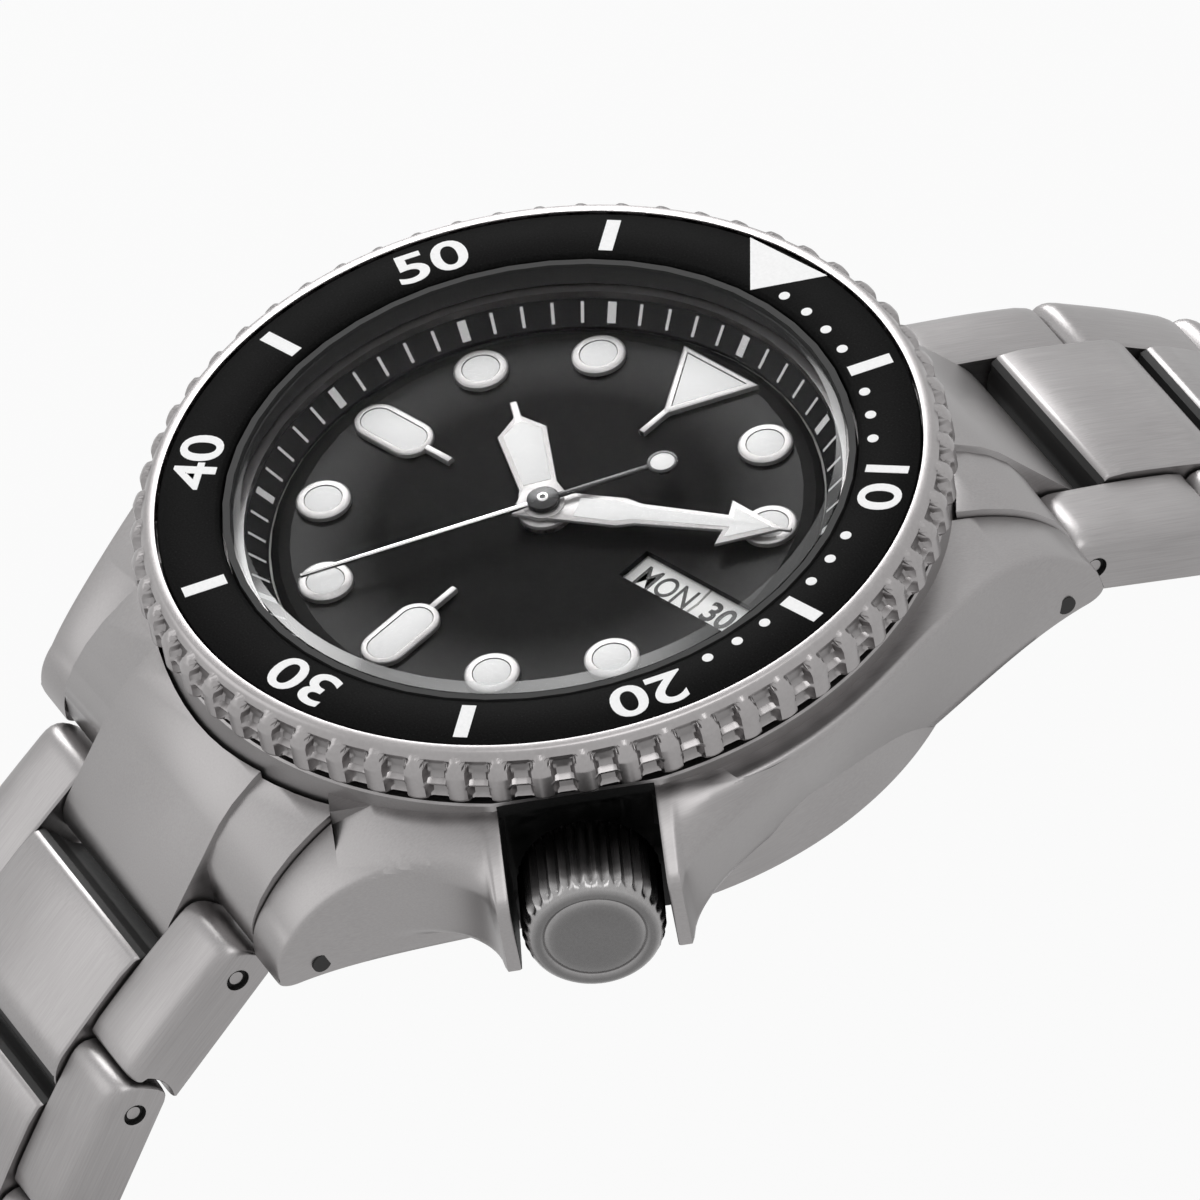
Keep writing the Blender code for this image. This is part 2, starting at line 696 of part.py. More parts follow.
def build_hands():
    minutes = TIME_MINUTES + TIME_SECONDS / 60
    hours = TIME_HOURS + minutes / 60
    half = HOUR_WIDTH / 2
    root = HOUR_PIPE_RADIUS
    hour = [
        (-root, -root), (root, -root), (half, root), (half, HOUR_LENGTH * 0.62), (SECOND_WIDTH, HOUR_LENGTH * 0.8),
        (SECOND_WIDTH, HOUR_LENGTH), (-SECOND_WIDTH, HOUR_LENGTH), (-SECOND_WIDTH, HOUR_LENGTH * 0.8),
        (-half, HOUR_LENGTH * 0.62), (-half, root),
    ]
    pipe("hour_hand", hour, HOUR_Z, HOUR_PIPE_RADIUS, POLISHED, hand_place(hours / 12))
    half = MINUTE_WIDTH / 2
    wing = ARROW_WIDTH / 2
    neck = MINUTE_LENGTH - ARROW_LENGTH
    root = HOUR_PIPE_RADIUS - PIPE_STEP
    minute = [
        (-root, -root), (root, -root), (half, root), (half, neck), (wing, neck), (0, MINUTE_LENGTH), (-wing, neck),
        (-half, neck), (-half, root),
    ]
    pipe("minute_hand", minute, MINUTE_Z, root, POLISHED, hand_place(minutes / 60))
    half = SECOND_WIDTH / 2
    dot = arc(0, -SECOND_TAIL, SECOND_DOT_RADIUS, pi / 2 + 0.2, tau + pi / 2 - 0.2, 13)
    second = [(half, SECOND_LENGTH), (-half, SECOND_LENGTH), (-half, 0)] + dot + [(half, 0)]
    root = HOUR_PIPE_RADIUS - 2 * PIPE_STEP
    pipe("second_hand", second, SECOND_Z, root, POLISHED, hand_place(TIME_SECONDS / 60))


# Movement

def build_discs():
    inner = HOUR_PIPE_RADIUS + RUN
    piece("day_disc", ring(inner, DAY_RADIUS, DISC_BASE, DISC_TOP), WHITE, dial_place())
    piece("date_ring", ring(DAY_RADIUS + RUN, DATE_OUTER, DISC_BASE, DISC_TOP), WHITE, dial_place())


def balance_place(z=0.0):
    return Matrix.Translation((BALANCE_REACH * cos(BALANCE_ANGLE), BALANCE_REACH * sin(BALANCE_ANGLE), z))


def build_movement():
    holder = piece("movement_holder", ring(MOVEMENT_RADIUS + FIT, CAVITY_RADIUS - FIT, BACK_STEP + FIT, HOLDER_TOP, FINE), PLASTIC)
    cut(holder, disc(STEM_RADIUS + 2 * RUN, 0, CROWN_END, SMALL), CROWN_TURNED)
    plate = piece("mainplate", disc(MOVEMENT_RADIUS, MAINPLATE_BASE, MAINPLATE_TOP, FINE), RHODIUM)
    cut(plate, disc(HOUR_PIPE_RADIUS + FIT, PIPE_BASE - FIT, MAINPLATE_TOP + FIT, SMALL))
    pocket = disc(BALANCE_RADIUS + 2 * RUN, MAINPLATE_BASE - FIT, MAINPLATE_BASE + BALANCE_POCKET, PLAIN)
    cut(plate, pocket, balance_place())
    cut(plate, disc(STEM_RADIUS + RUN, STEM_START - RUN, CROWN_END, SMALL), CROWN_TURNED)
    wide = LEVER_HALF_WIDTH + 2 * RUN
    low = (STEM_GROOVE - RUN, -wide, MAINPLATE_BASE - CROWN_HEIGHT - FIT)
    high = (STEM_GROOVE + GROOVE_WIDTH + CROWN_PULL + RUN, wide, wide)
    cut(plate, box(low, high), CROWN_PLACE)
    sector = arc(0, 0, BRIDGE_RADIUS, -BRIDGE_SPAN, BRIDGE_SPAN, 25) + [(-BRIDGE_BACK, 0)]
    bridge = piece("train_bridge", prism(sector, BRIDGE_BASE, BRIDGE_TOP), RHODIUM)
    cut(bridge, disc(ROTOR_AXLE_RADIUS - 2 * FIT, BRIDGE_BASE - FIT, BRIDGE_TOP + FIT, SMALL))
    half = COCK_WIDTH / 2
    reach = MOVEMENT_RADIUS - 2 * FIT
    end = arc(BALANCE_REACH, 0, half, pi / 2, pi * 3 / 2, 9)
    cock = end + [(sqrt(reach ** 2 - half ** 2), -half), (sqrt(reach ** 2 - half ** 2), half)]
    piece("balance_cock", prism(cock, BRIDGE_BASE, BRIDGE_TOP), RHODIUM, about_z(BALANCE_ANGLE))
    build_balance()
    build_rotor()


def build_balance():
    low = MAINPLATE_BASE + BALANCE_THICKNESS
    high = low + BALANCE_THICKNESS
    rim = ring(BALANCE_RADIUS - BALANCE_RIM, BALANCE_RADIUS, low, high)
    wheel = piece("balance_wheel", rim, BRASS, balance_place())
    join(wheel, disc(BALANCE_STAFF, BRIDGE_TOP + RUN, MAINPLATE_BASE + BALANCE_POCKET - RUN, SMALL))
    reach = BALANCE_RADIUS - BALANCE_RIM / 2
    half = BALANCE_SPOKE / 2
    for turn in (0, pi / 2):
        spoke = box((-reach, -half, low + FIT), (reach, half, high - FIT))
        join(wheel, spoke, balance_place() @ Matrix.Rotation(turn, 4, "Z"))


def build_rotor():
    low = WINDOW_TOP + 2 * RUN
    plate_low = low + ROTOR_PLATE
    half_disc = arc(0, 0, ROTOR_RADIUS, 0, pi, 21) + [(-ROTOR_HUB_RADIUS, -FIT), (ROTOR_HUB_RADIUS, -FIT)]
    rotor = piece("rotor", prism(half_disc, plate_low, plate_low + ROTOR_PLATE), RHODIUM, about_z(ROTOR_ANGLE))
    outer = arc(0, 0, ROTOR_RADIUS, 0, pi, 21)
    inner = arc(0, 0, ROTOR_RADIUS - ROTOR_RIM, pi, 0, 21)
    join(rotor, prism(outer + inner, low, low + ROTOR_RIM_HEIGHT))
    join(rotor, disc(ROTOR_HUB_RADIUS, low + FIT, BRIDGE_BASE - RUN))
    cut(rotor, disc(ROTOR_AXLE_RADIUS + FIT, low - FIT, BRIDGE_BASE, SMALL))
    axle = [
        (0, WINDOW_TOP + FIT),
        (ROTOR_HUB_RADIUS - 2 * RUN, WINDOW_TOP + FIT),
        (ROTOR_HUB_RADIUS - 2 * RUN, low),
        (ROTOR_AXLE_RADIUS, low),
        (ROTOR_AXLE_RADIUS, BRIDGE_BASE - FIT),
        (ROTOR_AXLE_RADIUS - 3 * FIT, BRIDGE_BASE - FIT),
        (ROTOR_AXLE_RADIUS - 3 * FIT, BRIDGE_TOP - FIT),
        (0, BRIDGE_TOP - FIT),
    ]
    piece("rotor_axle", turned(axle, SMALL), POLISHED)


# Case back

def build_case_back():
    thread = BACK_THREAD_RADIUS - FIT
    bowl = ROTOR_RADIUS + 4 * RUN
    profile = [
        (BACK_OPENING_RADIUS, 0),
        (BACK_FLANGE_RADIUS, 0),
        (BACK_FLANGE_RADIUS, CASE_UNDERSIDE - FIT),
        (thread, CASE_UNDERSIDE - FIT),
        (thread, BACK_RING_TOP),
        (bowl, BACK_RING_TOP),
        (bowl, WINDOW_TOP),
        (BACK_WINDOW_RADIUS + FIT, WINDOW_TOP),
        (BACK_WINDOW_RADIUS + FIT, BACK_LIP),
        (BACK_OPENING_RADIUS, BACK_LIP),
    ]
    back = piece("case_back_ring", turned(profile, FINE), STEEL)
    half = NOTCH_WIDTH / 2
    for k in range(BACK_NOTCHES):
        low = (BACK_FLANGE_RADIUS - NOTCH_DEPTH, -half, -FIT)
        notch = box(low, (BACK_FLANGE_RADIUS + FIT, half, CASE_UNDERSIDE / 2))
        cut(back, notch, about_z(k * tau / BACK_NOTCHES))
    pane = [
        (0, 0),
        (BACK_OPENING_RADIUS - FIT, 0),
        (BACK_OPENING_RADIUS - FIT, WINDOW_BASE),
        (BACK_WINDOW_RADIUS, WINDOW_BASE),
        (BACK_WINDOW_RADIUS, WINDOW_TOP),
        (0, WINDOW_TOP),
    ]
    piece("case_back_window", turned(pane, FINE), GLASS)
    low = BACK_RING_TOP + FIT
    inner = CAVITY_RADIUS + FIT
    outer = BACK_THREAD_RADIUS - FIT
    piece("case_back_gasket", ring(inner, outer, low, low + BACK_GASKET_HEIGHT, FINE), RUBBER)


# Crown

def build_crown():
    base = CROWN_END - CROWN_LENGTH
    form = bmesh.new()
    shares = ((-0.25, 0), (0.15, 0), (0.45, 1))

    def fluted(s, radius, depth):
        row = []
        for flute in range(CROWN_FLUTES):
            for share, sunk in shares:
                angle = (flute + share) * tau / CROWN_FLUTES
                reach = radius - depth * sunk
                row.append(form.verts.new((reach * cos(angle), reach * sin(angle), s)))
        return row

    rim = CROWN_RADIUS - CROWN_CHAMFER
    rows = [
        fluted(base, rim, 0),
        fluted(base + CROWN_CHAMFER, CROWN_RADIUS, FLUTE_DEPTH),
        fluted(CROWN_END - 2 * CROWN_CHAMFER, CROWN_RADIUS, FLUTE_DEPTH),
        fluted(CROWN_END - CROWN_CHAMFER / 2, rim, 0),
    ]
    for low, high in zip(rows, rows[1:]):
        for k in range(len(low)):
            after = (k + 1) % len(low)
            form.faces.new((low[k], low[after], high[after], high[k]))
    face = form.faces.new(rows[-1])
    form.faces.new(rows[0])
    bmesh.ops.inset_region(form, faces=[face], thickness=CROWN_CHAMFER, depth=CROWN_CHAMFER / 2)
    crown = piece("crown", form, STEEL, CROWN_TURNED)
    cut(crown, disc(CROWN_SKIRT_BORE, base - FIT, base + CROWN_SKIRT, PLAIN))
    cut(crown, disc(STEM_RADIUS + FIT, base, base + CROWN_SKIRT + STEM_SEAT, SMALL))
    wall_start = CAVITY_RADIUS + FIT
    piece("crown_tube", ring(TUBE_BORE, TUBE_RADIUS, wall_start, TUBE_END, SMALL * 2), STEEL, CROWN_TURNED)
    low = TUBE_END - CROWN_PULL
    form = ring(TUBE_RADIUS + FIT, CROWN_SKIRT_BORE - FIT, low, low + CROWN_PULL / 2, SMALL * 2)
    piece("crown_gasket", form, RUBBER, CROWN_TURNED)
    stem = [
        (0, STEM_START),
        (STEM_RADIUS, STEM_START),
        (STEM_RADIUS, STEM_GROOVE),
        (GROOVE_RADIUS, STEM_GROOVE),
        (GROOVE_RADIUS, STEM_GROOVE + GROOVE_WIDTH),
        (STEM_RADIUS, STEM_GROOVE + GROOVE_WIDTH),
        (STEM_RADIUS, base + CROWN_SKIRT + STEM_SEAT - FIT),
        (0, base + CROWN_SKIRT + STEM_SEAT - FIT),
    ]
    piece("winding_stem", turned(stem, SMALL), POLISHED, CROWN_TURNED)
    inner = GROOVE_RADIUS + FIT
    outer = LEVER_HALF_WIDTH
    foot = MAINPLATE_BASE - CROWN_HEIGHT + FIT
    fork = [(inner, foot), (outer, foot), (outer, outer), (-outer, outer), (-outer, foot), (-inner, foot)]
    fork += arc(0, 0, inner, pi, 0, 7)
    middle = STEM_GROOVE + GROOVE_WIDTH / 2
    half = LEVER_THICKNESS / 2
    piece("setting_lever", bar((middle - half, fork), (middle + half, fork)), RHODIUM, CROWN_PLACE)


# Bracelet

def chain(sign, slope, bend, steepest=pi):
    """Pins and slopes of one half of the bracelet, from the end link outwards."""
    y = sign * PIVOT_Y
    z = PIVOT_Z
    slopes = []
    pins = [(y, z)]
    for k in range(LINKS_PER_SIDE):
        slopes.append(slope)
        y += sign * LINK_PITCH * cos(slope)
        z -= LINK_PITCH * sin(slope)
        pins.append((y, z))
        slope = min(steepest, slope + (FIRST_BEND if k == 0 else bend))
    return pins, slopes


def chain_gap(bend):
    end_12 = chain(1, SLOPE_AT_12, bend)[0][-1]
    end_6 = chain(-1, SLOPE_AT_6, bend)[0][-1]
    return hypot(end_12[0] - end_6[0], end_12[1] - end_6[1])


def closing_bend():
    """Bend at each pin with which the two halves end just a clasp apart when the clasp is shut."""
    low = radians(8)
    high = radians(150 / LINKS_PER_SIDE + 6)
    for _ in range(50):
        middle = (low + high) / 2
        if chain_gap(middle) > CLASP_LENGTH:
            low = middle
        else:
            high = middle
    return (low + high) / 2


BEND = closing_bend()
PINS_12, SLOPES_12 = chain(1, SLOPE_AT_12, BEND, HANGING)
PINS_6, SLOPES_6 = chain(-1, SLOPE_AT_6, BEND, HANGING)


def link_place(sign, pin, slope):
    turn = 0 if sign > 0 else pi
    tilt = Matrix.Rotation(turn, 4, "Z") @ Matrix.Rotation(-slope, 4, "X")
    return Matrix.Translation((0, pin[0], pin[1])) @ tilt


def nose(u, top, reach, start, end, count):
    """Half ellipse round a pin, from the underside to a given top."""
    middle = (top - LINK_UNDER) / 2
    half = (top + LINK_UNDER) / 2
    steps = [start + (end - start) * k / (count - 1) for k in range(count)]
    return [(u + reach * cos(a), middle + half * sin(a)) for a in steps]


def hollow(u, radius, top, side, count):
    """Hollow end round a pin, from the top down to the underside; side is -1 or +1 along the link."""
    start = asin(top / radius)
    end = -asin(LINK_UNDER / radius)
    steps = [start + (end - start) * k / (count - 1) for k in range(count)]
    return [(u + side * radius * cos(a), radius * sin(a)) for a in steps]


def outer_outline(top):
    """Side view of an outer link: round at its own pin, hollow round the next."""
    tip = top - LINK_CROWN
    return nose(0, top, LINK_NOSE, pi * 3 / 2, pi / 2, 7) + [(LINK_PITCH / 2, top + LINK_CROWN)] + hollow(
        LINK_PITCH, LINK_HOLLOW, tip, -1, 4
    )


def centre_outline(top):
    """Side view of a centre link: hollow round its own pin, round at the next."""
    start = list(reversed(hollow(0, CENTRE_HOLLOW, top, 1, 4)))
    crown = [(LINK_PITCH * 0.6, top + LINK_CROWN)]
    return start + crown + nose(LINK_PITCH, top, LINK_NOSE, pi / 2, -pi / 2, 7)


def link_mesh():
    centre = centre_outline(LINK_CENTRE_TOP)
    link = add_object("link", mesh_of(bar((-INNER_HALF, centre), (INNER_HALF, centre)), "link"), Matrix.Identity(4))
    edge = LINK_HALF - LINK_SHOULDER
    shoulder = LINK_TOP + (LINK_EDGE_TOP - LINK_TOP) / 2
    for sign in (-1, 1):
        form = bar(
            (sign * OUTER_START, outer_outline(LINK_TOP)),
            (sign * edge, outer_outline(shoulder)),
            (sign * LINK_HALF, outer_outline(LINK_EDGE_TOP)),
        )
        join(link, form)
    cut(link, along_x(PIN_RADIUS + RUN, -LINK_HALF, LINK_HALF, LINK_PITCH, 0, 8))
    reach = LINK_HALF - PIN_RECESS_DEPTH
    for sign in (-1, 1):
        cut(link, along_x(PIN_RECESS_RADIUS, sign * reach, sign * (LINK_HALF + FIT), 0, 0, 8))
    join(link, along_x(PIN_RADIUS, -reach + FIT, reach - FIT, 0, 0, 6))
    join(link, along_x(PIN_RADIUS, -OUTER_START * 1.2, OUTER_START * 1.2, FIXED_PIN_PLACE, 0, 6))
    return settled(link)


def build_links():
    mesh = link_mesh()
    mesh.materials.clear()
    for side, sign, pins, slopes in (("12", 1, PINS_12, SLOPES_12), ("6", -1, PINS_6, SLOPES_6)):
        for k in range(LINKS_PER_SIDE):
            name = "link_%s_%d" % (side, k + 1)
            copy = mesh.copy()
            copy.materials.append(own_material(name, STEEL))
            add_object(name, copy, link_place(sign, pins[k], slopes[k]))


def end_link_side(rise):
    """Side part of an end link: level with the lug's top line, down to the lug's nose."""
    steps = [END_LINK_BACK + (LUG_REACH - RUN - END_LINK_BACK) * sin(k * pi / 16) for k in range(9)]
    top = [(y, top_line(y) + rise) for y in steps]
    return [(END_LINK_BACK, END_LINK_UNDER)] + top + [(LUG_REACH - RUN, END_LINK_UNDER)]


def end_link_tongue():
    """Middle of an end link: proud of the sides, running down to an eye round the first pin."""
    last = LUG_REACH - 6 * RUN
    steps = [END_LINK_BACK + (last - END_LINK_BACK) * sin(k * pi / 12) for k in range(7)]
    top = [(y, top_line(y) + END_LINK_RISE) for y in steps]
    eye = arc(PIVOT_Y, PIVOT_Z, LINK_NOSE + RUN, radians(40), radians(-110), 8)
    return [(END_LINK_BACK, END_LINK_UNDER)] + top + eye + [(SPRING_BAR_Y, END_LINK_UNDER)]


def build_end_links():
    half = LUG_SPACE / 2 - FIT
    for side, turn in (("12", 0), ("6", pi)):
        place = about_z(turn)
        tongue = end_link_tongue()
        link = piece("end_link_" + side, bar((-INNER_HALF, tongue), (INNER_HALF, tongue)), STEEL, place)
        for sign in (-1, 1):
            inner = (sign * (INNER_HALF - RUN), end_link_side(END_LINK_SIDE_RISE))
            outer = (sign * half, end_link_side(0))
            join(link, bar(inner, outer))
            start = sign * (INNER_HALF + RUN / 2)
            cut(link, along_x(LINK_NOSE + 3 * RUN, start, sign * LUG_SPACE, PIVOT_Y, PIVOT_Z, 24))
        cut(link, disc(END_WALL_RADIUS + FIT, 0, CRYSTAL_TOP, FINE * 2))
        cut(link, along_x(SPRING_BAR_RADIUS + FIT, -LUG_SPACE, LUG_SPACE, SPRING_BAR_Y, SPRING_BAR_Z, 12))
        cut(link, along_x(PIN_RADIUS + FIT, -LUG_SPACE, LUG_SPACE, PIVOT_Y, PIVOT_Z, 12))
        body = along_x(SPRING_BAR_RADIUS, -half + FIT, half - FIT, SPRING_BAR_Y, SPRING_BAR_Z, 12)
        spring_bar = piece("spring_bar_" + side, body, POLISHED, place)
        tip = LUG_SPACE / 2 + LUG_WALL - 4 * FIT
        join(spring_bar, along_x(SPRING_BAR_TIP, -tip, tip, SPRING_BAR_Y, SPRING_BAR_Z, 8))


# Clasp, in a frame on the last pin of the 12 o'clock half: Y runs down the clasp, Z points outwards

def clasp_place():
    return link_place(1, PINS_12[-1], HANGING)


def build_clasp():
    place = clasp_place()
    build_blades(place)
    build_cover(place)
    build_buttons(place)


def eye_bar(start, end, radius, low, high, x_from, x_to):
    """A flat bar with a round eye at each end."""
    first = arc(start, (low + high) / 2, radius, pi * 3 / 2, pi / 2, 9)
    last = arc(end, (low + high) / 2, radius, pi / 2, -pi / 2, 9)
    outline = first + last
    return bar((x_from, outline), (x_to, outline))


def build_blades(place):
    rail = OUTER_START + RAIL_WIDTH
    middle = (BLADE_TOP - BLADE_UNDER) / 2
    eye = LINK_NOSE
    outline = arc(0, 0, eye, pi * 1.35, pi * 0.35, 9)
    outline += [(3 * eye, BLADE_TOP), (FOLD_PLACE, BLADE_TOP)]
    outline += arc(FOLD_PLACE, middle, HINGE_EYE, pi / 2, -pi / 2, 7)
    outline += [(3 * eye, -BLADE_UNDER)]
    lower = piece("clasp_lower_blade", bar((OUTER_START, outline), (rail, outline)), STEEL, place)
    join(lower, bar((-rail, outline), (-OUTER_START, outline)))
    join(lower, along_x(PIN_RADIUS, -OUTER_START - RUN, OUTER_START + RUN, 0, 0, 8))
    join(lower, along_x(PIN_RADIUS, -OUTER_START - RUN, OUTER_START + RUN, FOLD_PLACE, middle, 8))
    blade = eye_bar(COVER_HINGE, FOLD_PLACE, HINGE_EYE, -BLADE_UNDER, BLADE_TOP, -INNER_HALF, INNER_HALF)
    middle_blade = piece("clasp_middle_blade", blade, STEEL, place)
    cut(middle_blade, along_x(PIN_RADIUS + FIT, -LINK_HALF, LINK_HALF, FOLD_PLACE, middle, 12))
    cut(middle_blade, along_x(PIN_RADIUS + FIT, -LINK_HALF, LINK_HALF, COVER_HINGE, middle, 12))
    inner = INNER_HALF - HINGE_EAR - RUN
    reach = HINGE_EYE + RUN
    for sign in (-1, 1):
        low = (min(sign * inner, sign * LINK_HALF), COVER_HINGE - 2 * reach, -2 * reach)
        high = (max(sign * inner, sign * LINK_HALF), COVER_HINGE + 1.5 * reach, 2 * reach)
        cut(middle_blade, box(low, high))


def build_cover(place):
    inner = COVER_TOP - COVER_PLATE
    middle = (BLADE_TOP - BLADE_UNDER) / 2
    bow = COVER_TOP + LINK_CROWN
    half_way = (COVER_START + COVER_END) / 2
    plate = [
        (COVER_START, inner), (COVER_START, COVER_TOP - COVER_PLATE / 2), (COVER_START + COVER_PLATE, COVER_TOP),
        (half_way, bow), (COVER_END - COVER_PLATE, COVER_TOP), (COVER_END, COVER_TOP - COVER_PLATE / 2),
        (COVER_END, inner), (half_way, inner),
    ]
    cover = piece("clasp_cover", bar((-LINK_HALF, plate), (LINK_HALF, plate)), STEEL, place)
    wall = [
        (COVER_START, inner + FIT), (COVER_START, 0), (COVER_START + COVER_UNDER, -COVER_UNDER),
        (EAR_END - COVER_UNDER, -COVER_UNDER), (EAR_END, 0), (EAR_END, COVER_UNDER),
        (COVER_END, inner + FIT),
    ]
    low = inner + COVER_PLATE / 2
    wall = [(u, low) if w > inner else (u, w) for u, w in wall]
    ear = LINK_HALF - COVER_WALL
    for sign in (-1, 1):
        join(cover, bar((sign * ear, wall), (sign * (LINK_HALF - FIT), wall)))
        x_from = sign * (INNER_HALF - HINGE_EAR)
        x_to = sign * INNER_HALF
        knuckle = arc(COVER_HINGE, middle, HINGE_EYE, pi, tau, 7)
        knuckle += [(COVER_HINGE + HINGE_EYE, low), (COVER_HINGE - HINGE_EYE, low)]
        join(cover, bar((x_from, knuckle), (x_to, knuckle)))
    reach = INNER_HALF - FIT
    join(cover, along_x(PIN_RADIUS, -reach, reach, COVER_HINGE, middle, 8))
    for k in range(ADJUST_HOLES):
        u = EAR_END - (k + 2) * ADJUST_STEP
        cut(cover, along_x(ADJUST_RADIUS, -LINK_WIDTH, LINK_WIDTH, u, inner / 2, 8))
    half = BUTTON_LENGTH / 2 + RUN
    high = BUTTON_HEIGHT / 2 + RUN
    rise = button_height()
    low = (-LINK_WIDTH, BUTTON_PLACE - half, rise - high)
    cut(cover, box(low, (LINK_WIDTH, BUTTON_PLACE + half, rise + high)))


def button_height():
    return (COVER_TOP - COVER_PLATE - COVER_UNDER) / 2


def build_buttons(place):
    half = BUTTON_LENGTH / 2
    high = BUTTON_HEIGHT / 2
    rise = button_height()
    outer = LINK_HALF + BUTTON_PROUD
    inner = LINK_HALF - BUTTON_DEPTH
    flat = outer - BUTTON_PROUD / 2

    def face(share):
        u = half * share
        w = high * share
        return [
            (BUTTON_PLACE - u, rise - w), (BUTTON_PLACE + u, rise - w), (BUTTON_PLACE + u, rise + w),
            (BUTTON_PLACE - u, rise + w),
        ]

    for name, sign in (("clasp_button_right", 1), ("clasp_button_left", -1)):
        form = bar((sign * inner, face(1)), (sign * flat, face(1)), (sign * outer, face(0.85)))
        piece(name, form, STEEL, place)
    rest = link_place(-1, PINS_6[-1], HANGING)
    piece("clasp_spring_bar", along_x(PIN_RADIUS, -INNER_HALF + FIT, INNER_HALF - FIT, 0, 0, 12), POLISHED, rest)


def main():
    clear_scene()
    build_case()
    build_bezel()
    build_bezel_hold()
    build_crystal()
    build_dial()
    build_hands()
    build_discs()
    build_movement()
    build_case_back()
    build_crown()
    build_links()
    build_end_links()
    build_clasp()
    print("bend at each pin, degrees: %.2f" % degrees(BEND))


main()
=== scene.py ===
import json
from math import asin, atan2, cos, pi, radians, sin, sqrt, tau

import bmesh
import bpy
from mathutils import Matrix, Vector

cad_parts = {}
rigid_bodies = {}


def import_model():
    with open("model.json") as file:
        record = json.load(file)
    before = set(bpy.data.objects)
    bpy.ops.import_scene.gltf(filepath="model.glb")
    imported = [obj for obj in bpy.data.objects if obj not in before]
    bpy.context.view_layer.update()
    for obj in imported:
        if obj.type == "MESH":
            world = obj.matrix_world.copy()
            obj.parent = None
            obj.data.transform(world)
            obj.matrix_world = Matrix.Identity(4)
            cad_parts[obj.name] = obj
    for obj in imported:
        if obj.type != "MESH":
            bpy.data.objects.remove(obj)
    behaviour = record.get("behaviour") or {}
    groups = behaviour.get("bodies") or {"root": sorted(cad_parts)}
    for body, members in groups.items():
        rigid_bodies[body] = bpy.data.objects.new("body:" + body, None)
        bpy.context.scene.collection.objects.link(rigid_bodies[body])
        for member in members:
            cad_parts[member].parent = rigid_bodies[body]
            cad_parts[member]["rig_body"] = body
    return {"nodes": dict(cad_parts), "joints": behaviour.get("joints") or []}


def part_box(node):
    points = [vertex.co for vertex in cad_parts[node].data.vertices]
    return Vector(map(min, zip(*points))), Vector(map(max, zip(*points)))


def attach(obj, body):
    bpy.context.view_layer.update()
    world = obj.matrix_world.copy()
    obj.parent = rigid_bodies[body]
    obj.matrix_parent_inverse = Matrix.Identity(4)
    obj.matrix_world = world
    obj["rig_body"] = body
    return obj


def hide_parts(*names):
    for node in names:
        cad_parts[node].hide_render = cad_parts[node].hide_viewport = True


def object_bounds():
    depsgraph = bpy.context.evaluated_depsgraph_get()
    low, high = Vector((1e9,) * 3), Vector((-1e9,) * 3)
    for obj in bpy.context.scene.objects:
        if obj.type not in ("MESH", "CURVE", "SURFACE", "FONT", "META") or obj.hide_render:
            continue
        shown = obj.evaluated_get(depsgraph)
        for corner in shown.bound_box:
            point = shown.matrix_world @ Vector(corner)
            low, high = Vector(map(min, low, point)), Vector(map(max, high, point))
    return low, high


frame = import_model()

CAD_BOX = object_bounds()

# Places taken over from the part's source
BEZEL_TURN = radians(20)
DIAL_TURN = radians(18.5)
DIAL_TOP = 0.01025
MARKER_RING = 0.01142
MARKER_RIM = 0.01277
HOUR_Z = 0.01056
MINUTE_Z = 0.0109
SECOND_Z = 0.01124
LEDGE_TOP = 0.0115
BACK_STEP = 0.0039
CROWN_ANGLE = radians(-24.2)
CROWN_HEIGHT = 0.0055
# Bounds of the crown's recess, where the case steel gets painted shade.
RECESS_START = 0.0175
RECESS_HALF = 0.00388
RECESS_TOP = 0.0096
HARD_EDGE = radians(24)
JOINTS = {joint["name"]: joint for joint in frame["joints"]}


# Shader sums

class Signal:
    """A shader value that takes part in plain arithmetic."""

    def __init__(self, finish, socket):
        self.finish = finish
        self.socket = socket

    def sum(self, operation, first, second):
        return self.finish.node("ShaderNodeMath", {"operation": operation}, {0: first, 1: second})

    def __add__(self, other):
        return self.sum("ADD", self, other)

    def __radd__(self, other):
        return self.sum("ADD", other, self)

    def __sub__(self, other):
        return self.sum("SUBTRACT", self, other)

    def __rsub__(self, other):
        return self.sum("SUBTRACT", other, self)

    def __mul__(self, other):
        return self.sum("MULTIPLY", self, other)

    def __rmul__(self, other):
        return self.sum("MULTIPLY", other, self)

    def __truediv__(self, other):
        return self.sum("DIVIDE", self, other)

    def __gt__(self, other):
        return self.sum("GREATER_THAN", self, other)

    def __lt__(self, other):
        return self.sum("LESS_THAN", self, other)


